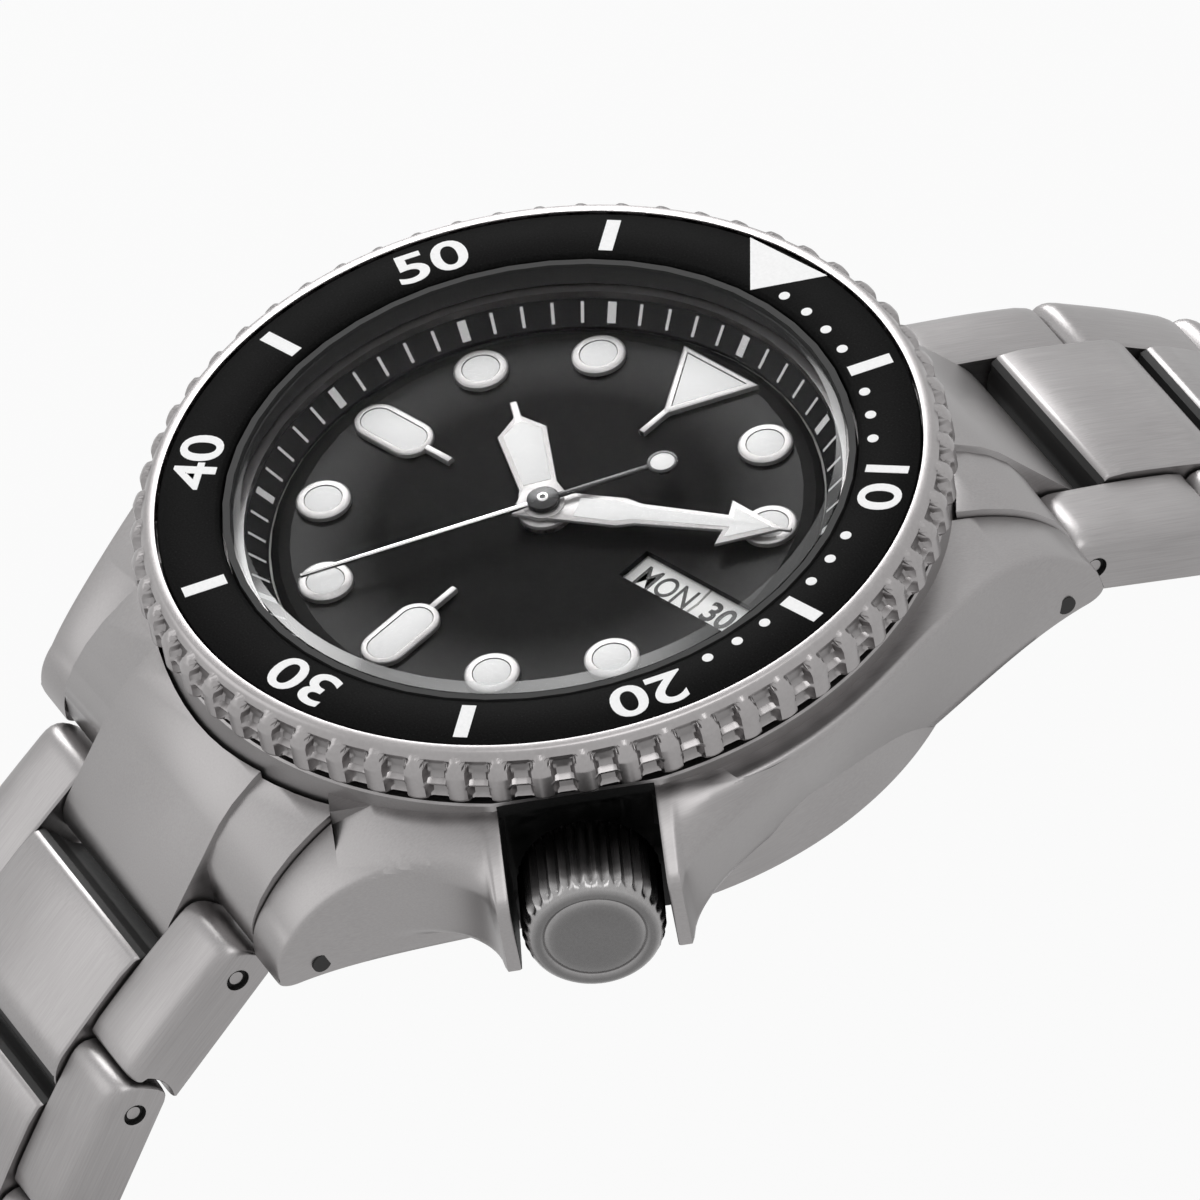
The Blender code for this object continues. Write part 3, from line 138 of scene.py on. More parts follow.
class Finish:
    """A node material that is put together by calls and sums."""

    def __init__(self, name):
        self.material = bpy.data.materials.new(name)
        self.material.use_nodes = True
        self.tree = self.material.node_tree
        self.shader = self.tree.nodes["Principled BSDF"]
        self.output = self.tree.nodes["Material Output"]

    def node(self, kind, settings=None, inputs=None, out=0):
        made = self.tree.nodes.new(kind)
        for key, value in (settings or {}).items():
            if key == "stops":
                ramp = made.color_ramp
                while len(ramp.elements) < len(value):
                    ramp.elements.new(0.5)
                for element, (position, colour) in zip(ramp.elements, value):
                    element.position = position
                    element.color = colour
            else:
                setattr(made, key, value)
        for key, value in (inputs or {}).items():
            self.feed(made.inputs[key], value)
        return Signal(self, made.outputs[out])

    def feed(self, socket, value):
        if isinstance(value, Signal):
            self.tree.links.new(value.socket, socket)
        else:
            socket.default_value = value

    def set(self, **inputs):
        for key, value in inputs.items():
            self.feed(self.shader.inputs[key.replace("_", " ")], value)
        return self

    def spot(self, turn=(0, 0, 0), scale=(1, 1, 1)):
        """Object coordinates, turned and stretched."""
        coordinates = self.node("ShaderNodeTexCoord", out="Object")
        settings = {"vector_type": "TEXTURE"}
        turned = self.node("ShaderNodeMapping", settings, {"Vector": coordinates, "Rotation": turn})
        return self.node("ShaderNodeMapping", None, {"Vector": turned, "Scale": scale})

    def axes(self, turn=(0, 0, 0)):
        """Object coordinates as three values."""
        first = self.node("ShaderNodeSeparateXYZ", None, {0: self.spot(turn)})
        return [Signal(self, socket) for socket in first.socket.node.outputs]

    def noise(self, place, scale, detail=3.0, roughness=0.55):
        inputs = {"Vector": place, "Scale": scale, "Detail": detail, "Roughness": roughness}
        return self.node("ShaderNodeTexNoise", {"noise_dimensions": "3D"}, inputs)

    def ramp(self, value, *stops):
        return self.node("ShaderNodeValToRGB", {"stops": stops}, {"Fac": value})

    def mix(self, factor, first, second):
        return self.blend("MIX", factor, first, second)

    def blend(self, kind, factor, first, second):
        settings = {"data_type": "RGBA", "blend_type": kind}
        return self.node("ShaderNodeMix", settings, {0: factor, 6: first, 7: second}, out=2)

    def bump(self, height, strength, distance):
        inputs = {"Height": height, "Strength": strength, "Distance": distance}
        return self.set(Normal=self.node("ShaderNodeBump", None, inputs))

    def reach(self, x, y):
        """Distance from the Z axis."""
        return self.node("ShaderNodeMath", {"operation": "SQRT"}, {0: x * x + y * y})

    def show(self, shader):
        """Put a shader in the place of the plain one."""
        self.tree.links.new(shader.socket, self.output.inputs["Surface"])


class Surroundings(Finish):
    """The light all round, put together as a finish is."""

    def __init__(self, name):
        world = bpy.data.worlds.new(name)
        world.use_nodes = True
        self.tree = world.node_tree
        self.shader = self.tree.nodes["Background"]
        bpy.context.scene.world = world


def grey(level, warm=0.0):
    """A grey colour, with a little more red where it is warm."""
    return (level * (1 + warm), level * (1 - warm * 0.3), level * (1 - warm * 0.3), 1)


def brushed_steel(name, tone, turn=(0, 0, 0), along=(1, 0.02, 1), rough=0.3):
    """Steel with a straight grain: fine lines in colour, gloss and height, with soft cloudy wear."""
    finish = Finish(name)
    lines = finish.noise(finish.spot(turn, [14000 * k for k in along]), 1.0, 4.0, 0.6)
    cloud = finish.noise(finish.spot(), 140.0, 2.0)
    shade = lines * 0.6 + cloud * 0.4
    low = grey(tone * 0.84, 0.03)
    high = grey(tone * 1.12, 0.026)
    finish.set(Base_Color=finish.ramp(shade, (0.3, low), (0.7, high)), Metallic=1.0)
    finish.set(Roughness=rough - 0.07 + lines * 0.1 + cloud * 0.06)
    finish.bump(lines, 0.08, 0.00002)
    return finish.material


def case_steel(tone):
    """Brushed case steel, with painted shade inside the recess that takes the crown."""
    finish = Finish("case_steel")
    lines = finish.noise(finish.spot((0, 0, 0), (14000, 280, 14000)), 1.0, 4.0, 0.6)
    cloud = finish.noise(finish.spot(), 120.0, 2.0)
    out, across, z = finish.axes((0, 0, CROWN_ANGLE))
    side = finish.node("ShaderNodeMath", {"operation": "ABSOLUTE"}, {0: across})
    # The recess mask paints shade: dark, dull, hardly metallic steel where the crown's recess lies.
    recess = (out > RECESS_START) * (side < RECESS_HALF) * (z < RECESS_TOP)
    low = grey(tone * 0.88, 0.03)
    high = grey(tone * 1.1, 0.026)
    steel = finish.ramp(lines * 0.6 + cloud * 0.4, (0.3, low), (0.7, high))
    painted_shade = finish.ramp(lines, (0.3, grey(0.006)), (0.7, grey(0.014)))
    finish.set(Base_Color=finish.mix(recess, steel, painted_shade), Metallic=1.0 - recess * 0.9)
    finish.set(Roughness=0.29 + lines * 0.1 + cloud * 0.06 + recess * 0.2, Specular_IOR_Level=0.2)
    finish.bump(lines, 0.06, 0.00002)
    return finish.material


def grip_steel(tone):
    """Bezel steel, with painted shade down in the hollows between the grips."""
    finish = Finish("grip_steel")
    grain = finish.noise(finish.spot(), 5000.0, 3.0, 0.6)
    cloud = finish.noise(finish.spot(), 260.0, 2.0)
    x, y, z = finish.axes()
    reach = finish.reach(x, y)
    low = grey(tone * 0.9, 0.035)
    high = grey(tone * 1.08, 0.03)
    steel = finish.ramp(grain * 0.5 + cloud * 0.5, (0.3, low), (0.7, high))
    # Painted shade in the hollows between the grips, deepest furthest in and kept below the grips' tops.
    hollow_shade = finish.ramp((reach - 0.0194) / 0.0008, (0.2, grey(0.7)), (0.75, grey(0.0))) * (z < 0.0126)
    finish.set(Base_Color=finish.mix(hollow_shade, steel, grey(0.05, 0.05)), Metallic=1.0)
    finish.set(Roughness=0.25 + grain * 0.08 + cloud * 0.06)
    return finish.material


def crown_finish(tone):
    """Crown steel that darkens towards the case, as the recess shades it."""
    finish = Finish("crown_steel")
    lines = finish.noise(finish.spot((0, 0, CROWN_ANGLE), (300, 9000, 9000)), 1.0, 3.0, 0.6)
    cloud = finish.noise(finish.spot(), 300.0, 2.0)
    out = finish.axes((0, 0, CROWN_ANGLE))[0]
    shares = ((0.1, 0.03), (0.6, 0.25), (0.8, 1.0), (0.94, 1.0), (0.975, 0.5))
    stops = [(place, grey(tone * share)) for place, share in shares]
    shade = finish.ramp((out - 0.0205) / 0.005, *stops)
    fleck = finish.ramp(lines * 0.6 + cloud * 0.4, (0.3, grey(0.8, 0.02)), (0.7, grey(1.0, 0.015)))
    finish.set(Base_Color=finish.blend("MULTIPLY", 1.0, shade, fleck), Metallic=1.0)
    finish.set(Roughness=0.2 + lines * 0.08 + cloud * 0.06)
    return finish.material


def polished_steel(name, tone, rough=0.14):
    """Steel with a mirror finish that carries faint hairlines."""
    finish = Finish(name)
    hair = finish.noise(finish.spot((0.4, 0.2, 0.7), (9000, 300, 9000)), 1.0, 3.0)
    cloud = finish.noise(finish.spot(), 220.0, 2.0)
    low = grey(tone * 0.92, 0.012)
    high = grey(tone * 1.06, 0.012)
    finish.set(Base_Color=finish.ramp(cloud, (0.3, low), (0.7, high)))
    finish.set(Metallic=1.0, Roughness=rough - 0.03 + hair * 0.05 + cloud * 0.03)
    return finish.material


def plain_coat(name, colour, rough, grain=2500.0, spread=0.12, height=0.000004, metallic=0.0, gloss=0.5):
    """Paint, plastic or rubber with a fine grain and slight colour change."""
    finish = Finish(name)
    grit = finish.noise(finish.spot(), grain, 3.0)
    low = tuple(c * (1 - spread) for c in colour) + (1,)
    high = tuple(min(1, c * (1 + spread)) for c in colour) + (1,)
    finish.set(Base_Color=finish.ramp(grit, (0.3, low), (0.7, high)), Metallic=metallic)
    finish.set(Roughness=rough - 0.06 + grit * 0.12, Specular_IOR_Level=gloss)
    finish.bump(grit, 0.25, height)
    return finish.material


def insert_black():
    """Black anodised insert: fine grain whose brightest specks are painted glints, and a satin sheen."""
    finish = Finish("insert_black")
    grit = finish.noise(finish.spot(), 9000.0, 2.0, 0.7)
    cloud = finish.noise(finish.spot(), 300.0, 2.0)
    # The rare bright specks in this colour are painted glints; the rest is the insert's own grain.
    finish.set(Base_Color=finish.ramp(grit, (0.35, grey(0.003)), (0.68, grey(0.008)), (0.8, grey(0.035))))
    finish.set(Roughness=0.42 + cloud * 0.08 + grit * 0.08, Specular_IOR_Level=0.02)
    finish.bump(grit, 0.3, 0.000006)
    return finish.material


def sunburst_black():
    """Black lacquered dial: a fine grain runs out from its middle; its edge is domed and glossier."""
    finish = Finish("dial_sunburst")
    x, y = finish.axes()[:2]
    angle = finish.node("ShaderNodeMath", {"operation": "ARCTAN2"}, {0: y, 1: x})
    ray = finish.node("ShaderNodeCombineXYZ", None, {0: angle * 60.0, 1: 0.3, 2: 0.1})
    grain = finish.noise(ray, 3.0, 4.0, 0.65)
    outside = finish.reach(x, y) - 0.0085
    edge = finish.node("ShaderNodeMath", {"operation": "MAXIMUM"}, {0: outside, 1: 0.0})
    finish.set(Base_Color=finish.ramp(grain, (0.3, grey(0.0008)), (0.7, grey(0.0022))), Metallic=0.0)
    finish.set(Roughness=0.34 + grain * 0.16, Specular_IOR_Level=0.02)
    coat = finish.ramp(edge / 0.004, (0.0, grey(0.0)), (0.9, grey(0.22)))
    finish.set(Coat_Weight=coat, Coat_Roughness=0.3)
    finish.bump(grain * 0.0000006 - edge * edge * 16.0, 1.0, 1.0)
    return finish.material


def crystal_glass(name, tint):
    """Clear glass as a see-through sheet with its gloss on top."""
    finish = Finish(name)
    clear = finish.node("ShaderNodeBsdfTransparent", None, {"Color": tint})
    gloss = finish.node("ShaderNodeBsdfGlossy", None, {"Roughness": 0.02, "Color": (1, 1, 1, 1)})
    smear = finish.noise(finish.spot(), 90.0, 2.0)
    sheet = finish.node("ShaderNodeMixShader", None, {0: smear * 0.0008 + 0.0003, 1: clear, 2: gloss})
    finish.show(sheet)
    return finish.material


def bevel_glass():
    """Ground edge of the crystal, brighter and duller in turn round its rim."""
    finish = Finish("bevel_glass")
    clear = finish.node("ShaderNodeBsdfTransparent", None, {"Color": (0.9, 0.92, 0.92, 1)})
    gloss = finish.node("ShaderNodeBsdfGlossy", None, {"Roughness": 0.12, "Color": (0.8, 0.8, 0.8, 1)})
    patch = finish.noise(finish.spot(), 70.0, 1.0)
    share = finish.ramp(patch, (0.4, grey(0.1)), (0.62, grey(0.42)))
    sheet = finish.node("ShaderNodeMixShader", None, {0: share, 1: clear, 2: gloss})
    finish.show(sheet)
    return finish.material


# Forms

def new_piece(name, form, material, body, *nodes, edge=32):
    """Finish a form as a piece that rides on a body and stands for the given nodes."""
    mesh = bpy.data.meshes.new(name)
    bmesh.ops.recalc_face_normals(form, faces=form.faces)
    form.to_mesh(mesh)
    form.free()
    mesh.shade_smooth()
    mesh.set_sharp_from_angle(angle=radians(edge))
    mesh.materials.append(material)
    piece = bpy.data.objects.new(name, mesh)
    bpy.context.scene.collection.objects.link(piece)
    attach(piece, body)
    if nodes:
        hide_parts(*nodes)
    return piece


def round_off(form, edges, width):
    bmesh.ops.bevel(
        form, geom=edges, offset=width, offset_type="OFFSET", segments=2, profile=0.5, affect="EDGES",
        clamp_overlap=True, material=-1,
    )


def eased_copy(node, width, material):
    """A copy of a solid with its hard edges rounded off."""
    form = bmesh.new()
    form.from_mesh(frame["nodes"][node].data)
    bmesh.ops.remove_doubles(form, verts=form.verts, dist=0.000002)
    bmesh.ops.dissolve_limit(form, angle_limit=radians(0.6), verts=form.verts, edges=form.edges)
    round_off(form, [e for e in form.edges if e.is_manifold and e.calc_face_angle() > HARD_EDGE], width)
    body = frame["nodes"][node]["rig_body"]
    new_piece(node + "_eased", form, material, body, node, edge=28)


def turned(profile, steps=128, closed=True):
    """Turn a profile of radius and height pairs about Z."""
    form = bmesh.new()
    verts = [form.verts.new((r, 0, z)) for r, z in profile]
    pairs = list(zip(verts, verts[1:]))
    if closed:
        pairs.append((verts[-1], verts[0]))
    edges = [form.edges.new(pair) for pair in pairs]
    bmesh.ops.spin(
        form, geom=verts + edges, cent=(0, 0, 0), axis=(0, 0, 1), angle=tau, steps=steps, use_merge=True
    )
    bmesh.ops.remove_doubles(form, verts=form.verts, dist=0.0000005)
    return form


def flat_face(form, outline, z):
    return form.faces.new([form.verts.new((x, y, z)) for x, y in outline])


def raise_faces(form, faces, height):
    made = bmesh.ops.extrude_face_region(form, geom=list(faces))
    verts = [v for v in made["geom"] if isinstance(v, bmesh.types.BMVert)]
    bmesh.ops.translate(form, verts=verts, vec=(0, 0, height))
    return [f for f in made["geom"] if isinstance(f, bmesh.types.BMFace)]


def pad(form, outline, z, height, ease=0.0):
    """A flat pad of the given outline, with its upper edge eased."""
    face = flat_face(form, outline, z)
    face.normal_update()
    if face.normal.z < 0:
        face.normal_flip()
    top = raise_faces(form, [face], height)
    if ease:
        round_off(form, list({e for f in top for e in f.edges}), ease)


def rim(form, outer, inner, z, height, ease):
    """A raised frame between two outlines of as many points, with its outer edge eased."""
    low = [form.verts.new((x, y, z)) for x, y in outer]
    rows = [low]
    shoulder = ((0.0, height - ease), (0.12, height - ease * 0.3), (0.3, height))
    for share, level in shoulder + ((1.0, height), (1.0, 0.0)):
        row = []
        for (x, y), (u, v) in zip(outer, inner):
            row.append(form.verts.new((x + (u - x) * share, y + (v - y) * share, z + level)))
        rows.append(row)
    rows.append(low)
    for first, second in zip(rows, rows[1:]):
        for k in range(len(low)):
            after = (k + 1) % len(low)
            form.faces.new((first[k], first[after], second[after], second[k]))


def arc(x, y, radius, start, end, count):
    steps = count if abs(end - start) >= tau else count - 1
    turns = [start + (end - start) * k / steps for k in range(count)]
    return [(x + radius * cos(turn), y + radius * sin(turn)) for turn in turns]


def circle(y, radius, count):
    """A full ring of points about a place on the Y axis."""
    return arc(0, y, radius, 0, tau, count)


def turn_form(form, angle):
    bmesh.ops.rotate(form, verts=form.verts, cent=(0, 0, 0), matrix=Matrix.Rotation(angle, 3, "Z"))


def joined(*forms):
    whole = bmesh.new()
    for form in forms:
        mesh = bpy.data.meshes.new("share")
        form.to_mesh(mesh)
        whole.from_mesh(mesh)
        bpy.data.meshes.remove(mesh)
        form.free()
    return whole


def spun(make, angle):
    """Make a form upright at twelve and turn it to its place."""
    form = bmesh.new()
    make(form)
    turn_form(form, angle)
    return form


def clock(minutes):
    return -minutes * tau / 60


def lettering(text, height, depth, stretch=1.0, weight=0.0):
    """Plain characters as a flat solid, centred on the origin and reading along X."""
    curve = bpy.data.curves.new("characters", "FONT")
    curve.body = text
    curve.align_x = "CENTER"
    curve.size = 1.0
    curve.offset = weight
    curve.extrude = 0.5
    curve.resolution_u = 6
    item = bpy.data.objects.new("characters", curve)
    bpy.context.scene.collection.objects.link(item)
    bpy.context.view_layer.update()
    mesh = bpy.data.meshes.new_from_object(item.evaluated_get(bpy.context.evaluated_depsgraph_get()))
    form = bmesh.new()
    form.from_mesh(mesh)
    bpy.data.objects.remove(item)
    bpy.data.curves.remove(curve)
    bpy.data.meshes.remove(mesh)
    bmesh.ops.remove_doubles(form, verts=form.verts, dist=0.00001)
    low = Vector((min(v.co.x for v in form.verts), min(v.co.y for v in form.verts), 0))
    high = Vector((max(v.co.x for v in form.verts), max(v.co.y for v in form.verts), 0))
    scale = height / (high.y - low.y)
    bmesh.ops.translate(form, verts=form.verts, vec=-(low + high) / 2)
    bmesh.ops.scale(form, verts=form.verts, vec=(scale * stretch, scale, depth))
    return form


# Finishes

STEEL_TONE = 0.32
case_brushed = case_steel(STEEL_TONE)
bezel_steel = grip_steel(STEEL_TONE * 1.05)
crown_steel = crown_finish(STEEL_TONE * 1.1)
clasp_steel = brushed_steel("clasp_steel", STEEL_TONE, (0, 0, 0), (1, 1, 0.02), 0.34)
bright_steel = polished_steel("bright_steel", 0.62)
rim_steel = plain_coat("rim_steel", (0.42, 0.41, 0.41), 0.42, 7000.0, 0.08, 0.000003, 0.75)
cap_black = plain_coat("cap_black", (0.03, 0.03, 0.031), 0.25, 6000.0, 0.1, 0.000002, 0.5)
# Near-black that paints the shade in gaps, holes and hollows between parts.
painted_gap_shade = plain_coat("painted_gap_shade", (0.006, 0.0055, 0.0055), 0.6, 4000.0)
black_insert = insert_black()
black_dial = sunburst_black()
black_ring = plain_coat("chapter_black", (0.004, 0.004, 0.0045), 0.4, 3000.0, 0.12, 0.000004, 0.0, 0.1)
rubber_black = plain_coat("gasket_rubber", (0.02, 0.02, 0.02), 0.75, 1800.0)
lume_white = plain_coat("lume_white", (0.9, 0.9, 0.9), 0.55, 5000.0, 0.04)
print_white = plain_coat("print_white", (0.7, 0.7, 0.7), 0.5, 6000.0, 0.04)
print_black = plain_coat("print_black", (0.012, 0.012, 0.012), 0.5, 6000.0)
disc_white = plain_coat("disc_white", (0.94, 0.94, 0.93), 0.5, 2500.0, 0.02)
holder_plastic = plain_coat("holder_plastic", (0.5, 0.5, 0.48), 0.5, 1200.0)
plate_metal = brushed_steel("movement_plate", 0.52, (0, 0, 0.5), (1, 0.06, 1), 0.3)
wheel_brass = plain_coat("balance_brass", (0.62, 0.47, 0.2), 0.28, 1500.0, 0.08, 0.000003, 1.0)
front_glass = crystal_glass("crystal_glass", (0.985, 0.985, 0.985, 1))
back_glass = crystal_glass("back_glass", (0.95, 0.97, 0.97, 1))
edge_glass = bevel_glass()


def dress(node, material):
    slots = frame["nodes"][node].data.materials
    slots.clear()
    slots.append(material)


# Head

def dress_solids():
    table = {
        "case_back_ring": case_brushed, "case_back_window": back_glass, "case_back_gasket": rubber_black,
        "bezel_click_spring": bright_steel, "bezel_gasket": rubber_black, "crystal_gasket": rubber_black,
        "winding_stem": bright_steel, "crown_tube": bright_steel, "crown_gasket": rubber_black,
        "setting_lever": plate_metal, "movement_holder": holder_plastic, "mainplate": plate_metal,
        "train_bridge": plate_metal, "balance_wheel": wheel_brass, "balance_cock": plate_metal,
        "rotor": plate_metal, "rotor_axle": bright_steel, "spring_bar_12": bright_steel,
        "spring_bar_6": bright_steel, "clasp_spring_bar": bright_steel, "day_disc": disc_white,
        "date_ring": disc_white, "dial": black_dial,
    }
    for node, material in table.items():
        dress(node, material)


def make_crystal():
    low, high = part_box("crystal")
    r = high.x
    top = high.z
    profile = [
        (0, low.z), (r, low.z), (r, top - 0.00042), (r - 0.00004, top - 0.00036), (r - 0.0005, top - 0.00002),
        (r - 0.00058, top), (0, top),
    ]
    pane = new_piece("crystal_pane", turned(profile, 160, False), front_glass, "head", "crystal", edge=18)
    pane.data.materials.append(edge_glass)
    for face in pane.data.polygons:
        if 0.2 < face.normal.z < 0.97:
            face.material_index = 1


def make_insert():
    low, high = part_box("bezel_insert")
    inner = 0.01585
    outer = 0.0190
    profile = [
        (inner, low.z), (outer, low.z), (outer, high.z - 0.00012), (outer - 0.00003, high.z - 0.00004),
        (outer - 0.0001, high.z), (inner + 0.0003, high.z), (inner + 0.00008, high.z - 0.00008),
        (inner, high.z - 0.0002),
    ]
    new_piece("insert_ring", turned(profile, 180), black_insert, "bezel", "bezel_insert", edge=40)
    forms = []
    z = high.z - 0.00001
    thick = 0.00003

    def bar(form):
        half = 0.00036
        pad(form, [(-half, 0.01629), (half, 0.01629), (half, 0.0185), (-half, 0.0185)], z, thick)

    def dot(form):
        pad(form, circle(0.0166, 0.00028, 20), z, thick)

    def triangle(form):
        pad(form, [(-0.00257, 0.0188), (0, 0.0159), (0.00257, 0.0188)], z, thick)

    for minute in range(5, 60, 10):
        forms.append(spun(bar, clock(minute)))
    for minute in (1, 2, 3, 4, 6, 7, 8, 12, 13, 14, 16, 17, 18):
        forms.append(spun(dot, clock(minute)))
    forms.append(spun(triangle, 0))
    for minute in range(10, 60, 10):
        form = lettering(str(minute), 0.00222, thick, 1.3, 0.016)
        bmesh.ops.translate(form, verts=form.verts, vec=(0, 0.01738, z + thick / 2))
        turn_form(form, clock(minute))
        forms.append(form)
    whole = joined(*forms)
    turn_form(whole, BEZEL_TURN)
    new_piece("insert_figures", whole, lume_white, "bezel")


def make_chapter():
    low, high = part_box("chapter_ring")
    inner = 0.0139
    foot = 0.01005
    crest = high.z
    profile = [(inner, low.z), (0.0151, low.z), (0.0151, crest), (0.0149, crest), (inner, foot)]
    new_piece("chapter_slope", turned(profile, 160), black_ring, "head", "chapter_ring", edge=20)
    forms = []
    rise = (crest - foot) / (0.0149 - inner)

    def tick(half, start, end):
        def make(form):
            lift = 0.000012
            points = [(-half, start), (half, start), (half, end), (-half, end)]
            verts = [form.verts.new((x, y, foot + (y - inner) * rise + lift)) for x, y in points]
            face = form.faces.new(verts)
            made = bmesh.ops.extrude_face_region(form, geom=[face])
            top = [v for v in made["geom"] if isinstance(v, bmesh.types.BMVert)]
            bmesh.ops.translate(form, verts=top, vec=(0, -0.00001, 0.00001))
        return make

    for minute in range(60):
        half = 0.00008 if minute % 5 else 0.00022
        forms.append(spun(tick(half, 0.01402, 0.01478), clock(minute)))
    whole = joined(*forms)
    turn_form(whole, DIAL_TURN)
    new_piece("minute_ticks", whole, print_white, "head")


def pill_outline(half, near, far, count=13):
    return arc(0, far - half, half, 0, pi, count) + arc(0, near + half, half, pi, tau, count)


def make_markers():
    base = DIAL_TOP - 0.00002
    tall = 0.00034
    surrounds = []
    pads = []

    def round_rim(form):
        outer = circle(MARKER_RING, 0.00138, 48)
        rim(form, outer, circle(MARKER_RING, 0.00098, 48), base, tall, 0.00008)

    def round_pad(form):
        pad(form, circle(MARKER_RING, 0.00099, 40), base, tall - 0.00002, 0.0001)

    for hour in (1, 2, 4, 5, 7, 8, 10, 11):
        surrounds.append(spun(round_rim, clock(hour * 5)))
        pads.append(spun(round_pad, clock(hour * 5)))
    near = MARKER_RIM - 0.00462
    tail = 0.0016

    def tail_pad(foot):
        half = 0.00017
        points = [(-half, foot - tail), (half, foot - tail), (half, foot + 0.0003), (-half, foot + 0.0003)]
        return lambda form: pad(form, points, base, tall - 0.00001, 0.00004)

    def pill_rim(form):
        outer = pill_outline(0.0012, near, MARKER_RIM + 0.00002)
        rim(form, outer, pill_outline(0.00088, near + 0.0003, MARKER_RIM - 0.00028), base, tall, 0.00008)

    def pill_pad(form):
        pad(form, pill_outline(0.00089, near + 0.00029, MARKER_RIM - 0.00027), base, tall - 0.00002, 0.0001)

    for hour in (6, 9):
        surrounds.append(spun(pill_rim, clock(hour * 5)))
        surrounds.append(spun(tail_pad(near), clock(hour * 5)))
        pads.append(spun(pill_pad, clock(hour * 5)))
    apex = MARKER_RIM - 0.0042
    big = [(-0.00254, MARKER_RIM + 0.00002), (0, apex - 0.00006), (0.00254, MARKER_RIM + 0.00002)]
    small = [(-0.00204, MARKER_RIM - 0.00026), (0, apex + 0.00056), (0.00204, MARKER_RIM - 0.00026)]

    def triangle_rim(form):
        rim(form, big, small, base, tall, 0.00006)

    def triangle_pad(form):
        side = MARKER_RIM - 0.00024 - 0.00001
        points = [(-0.00206, side), (0, apex + 0.00052), (0.00206, side)]
        pad(form, points, base, tall - 0.00002, 0.0001)

    surrounds.append(spun(triangle_rim, 0))
    surrounds.append(spun(tail_pad(apex), 0))
    pads.append(spun(triangle_pad, 0))
    for name, forms, material in (("hour_surrounds", surrounds, rim_steel), ("hour_lume", pads, lume_white)):
        whole = joined(*forms)
        turn_form(whole, DIAL_TURN)
        new_piece(name, whole, material, "head")


def make_calendar():
    """Day and date print, which shows through the dial's window."""
    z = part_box("date_ring")[1].z + 0.00001
    thick = 0.00002
    forms = []
    for number in range(31):
        form = lettering(str(number + 1), 0.0014, thick, 0.95, 0.02)
        bmesh.ops.translate(form, verts=form.verts, vec=(0.01165, 0, z))
        turn_form(form, (29 - number) * tau / 31)
        forms.append(form)
    whole = joined(*forms)
    turn_form(whole, DIAL_TURN)
    new_piece("date_figures", whole, print_black, "date_ring")
    forms = []
    for number, text in enumerate(("MON", "TUE", "WED", "THU", "FRI", "SAT", "SUN")):
        form = lettering(text, 0.00138, thick, 0.78, 0.007)
        bmesh.ops.translate(form, verts=form.verts, vec=(0.0081, 0, z))
        turn_form(form, -number * tau / 7)
        forms.append(form)
    whole = joined(*forms)
    turn_form(whole, DIAL_TURN)
    new_piece("day_words", whole, print_black, "day_disc")


def make_hands():
    seconds = 35
    minutes = 10 + seconds / 60
    hours = 10 + minutes / 60
    angle = DIAL_TURN - hours / 12 * tau
    thick = 0.00016
    half = 0.00125
    length = 0.0082
    outline = [
        (-0.0014, 0.0002), (0.0014, 0.0002), (0.00096, 0.0018), (half, length * 0.72),
        (0.0002, length * 0.86), (0.00018, length), (-0.00018, length), (-0.0002, length * 0.86),
        (-half, length * 0.72), (-0.00096, 0.0018),
    ]
    inner = [
        (-0.00072, 0.002), (0.00072, 0.002), (0.00098, length * 0.71), (0.0001, length * 0.81),
        (-0.0001, length * 0.81), (-0.00098, length * 0.71),
    ]
    hand_piece("hour", outline, inner, HOUR_Z, thick, 0.00135, angle)
    angle = DIAL_TURN - minutes / 60 * tau
    outline = [
        (-0.00095, -0.0014), (0.00095, -0.0014), (0.00098, 0.0040), (0.0007, 0.0049), (0.00054, 0.0094),
        (0.0016, 0.0093), (0.0001, 0.0122), (0.0001, 0.0128), (-0.0001, 0.0128), (-0.0001, 0.0122),
        (-0.0016, 0.0093), (-0.00054, 0.0094), (-0.0007, 0.0049), (-0.00098, 0.0040),
    ]
    inner = [
        (-0.00066, 0.0017), (0.00066, 0.0017), (0.00072, 0.0038), (0.00045, 0.0048), (0.0003, 0.0097),
        (0.00108, 0.0096), (0, 0.0118), (-0.00108, 0.0096), (-0.0003, 0.0097), (-0.00045, 0.0048),
        (-0.00072, 0.0038),
    ]
    hand_piece("minute", outline, inner, MINUTE_Z, thick, 0.00105, angle)
    angle = DIAL_TURN - seconds / 60 * tau
    tail = 0.0062
    needle = [(-0.0001, 0.0126), (-0.00014, 0.0004), (0.00014, 0.0004), (0.0001, 0.0126)]
    form = bmesh.new()
    pad(form, needle, SECOND_Z, thick, 0.00003)
    rim(form, circle(0, 0.0003, 32), circle(0, 0.00018, 32), SECOND_Z + 0.0002, 0.00012, 0.00003)
    pad(form, circle(0, 0.00032, 32), SECOND_Z - 0.00254, 0.0026)
    turn_form(form, angle)
    new_piece("second_needle", form, bright_steel, "second_hand", "second_hand")
    form = bmesh.new()
    end = -tail + 0.0007
    pad(form, [(-0.00014, 0), (-0.00014, end), (0.00014, end), (0.00014, 0)], SECOND_Z, thick, 0.00003)
    rim(form, circle(-tail, 0.0008, 36), circle(-tail, 0.00062, 36), SECOND_Z, thick + 0.00002, 0.00004)
    pad(form, circle(0, 0.00082, 40), SECOND_Z - 0.00004, 0.0003, 0.00008)
    turn_form(form, angle)
    new_piece("second_cap", form, cap_black, "second_hand")
    form = bmesh.new()
    pad(form, circle(-tail, 0.00062, 36), SECOND_Z, thick, 0.00004)
    turn_form(form, angle)
    new_piece("second_lume", form, lume_white, "second_hand")


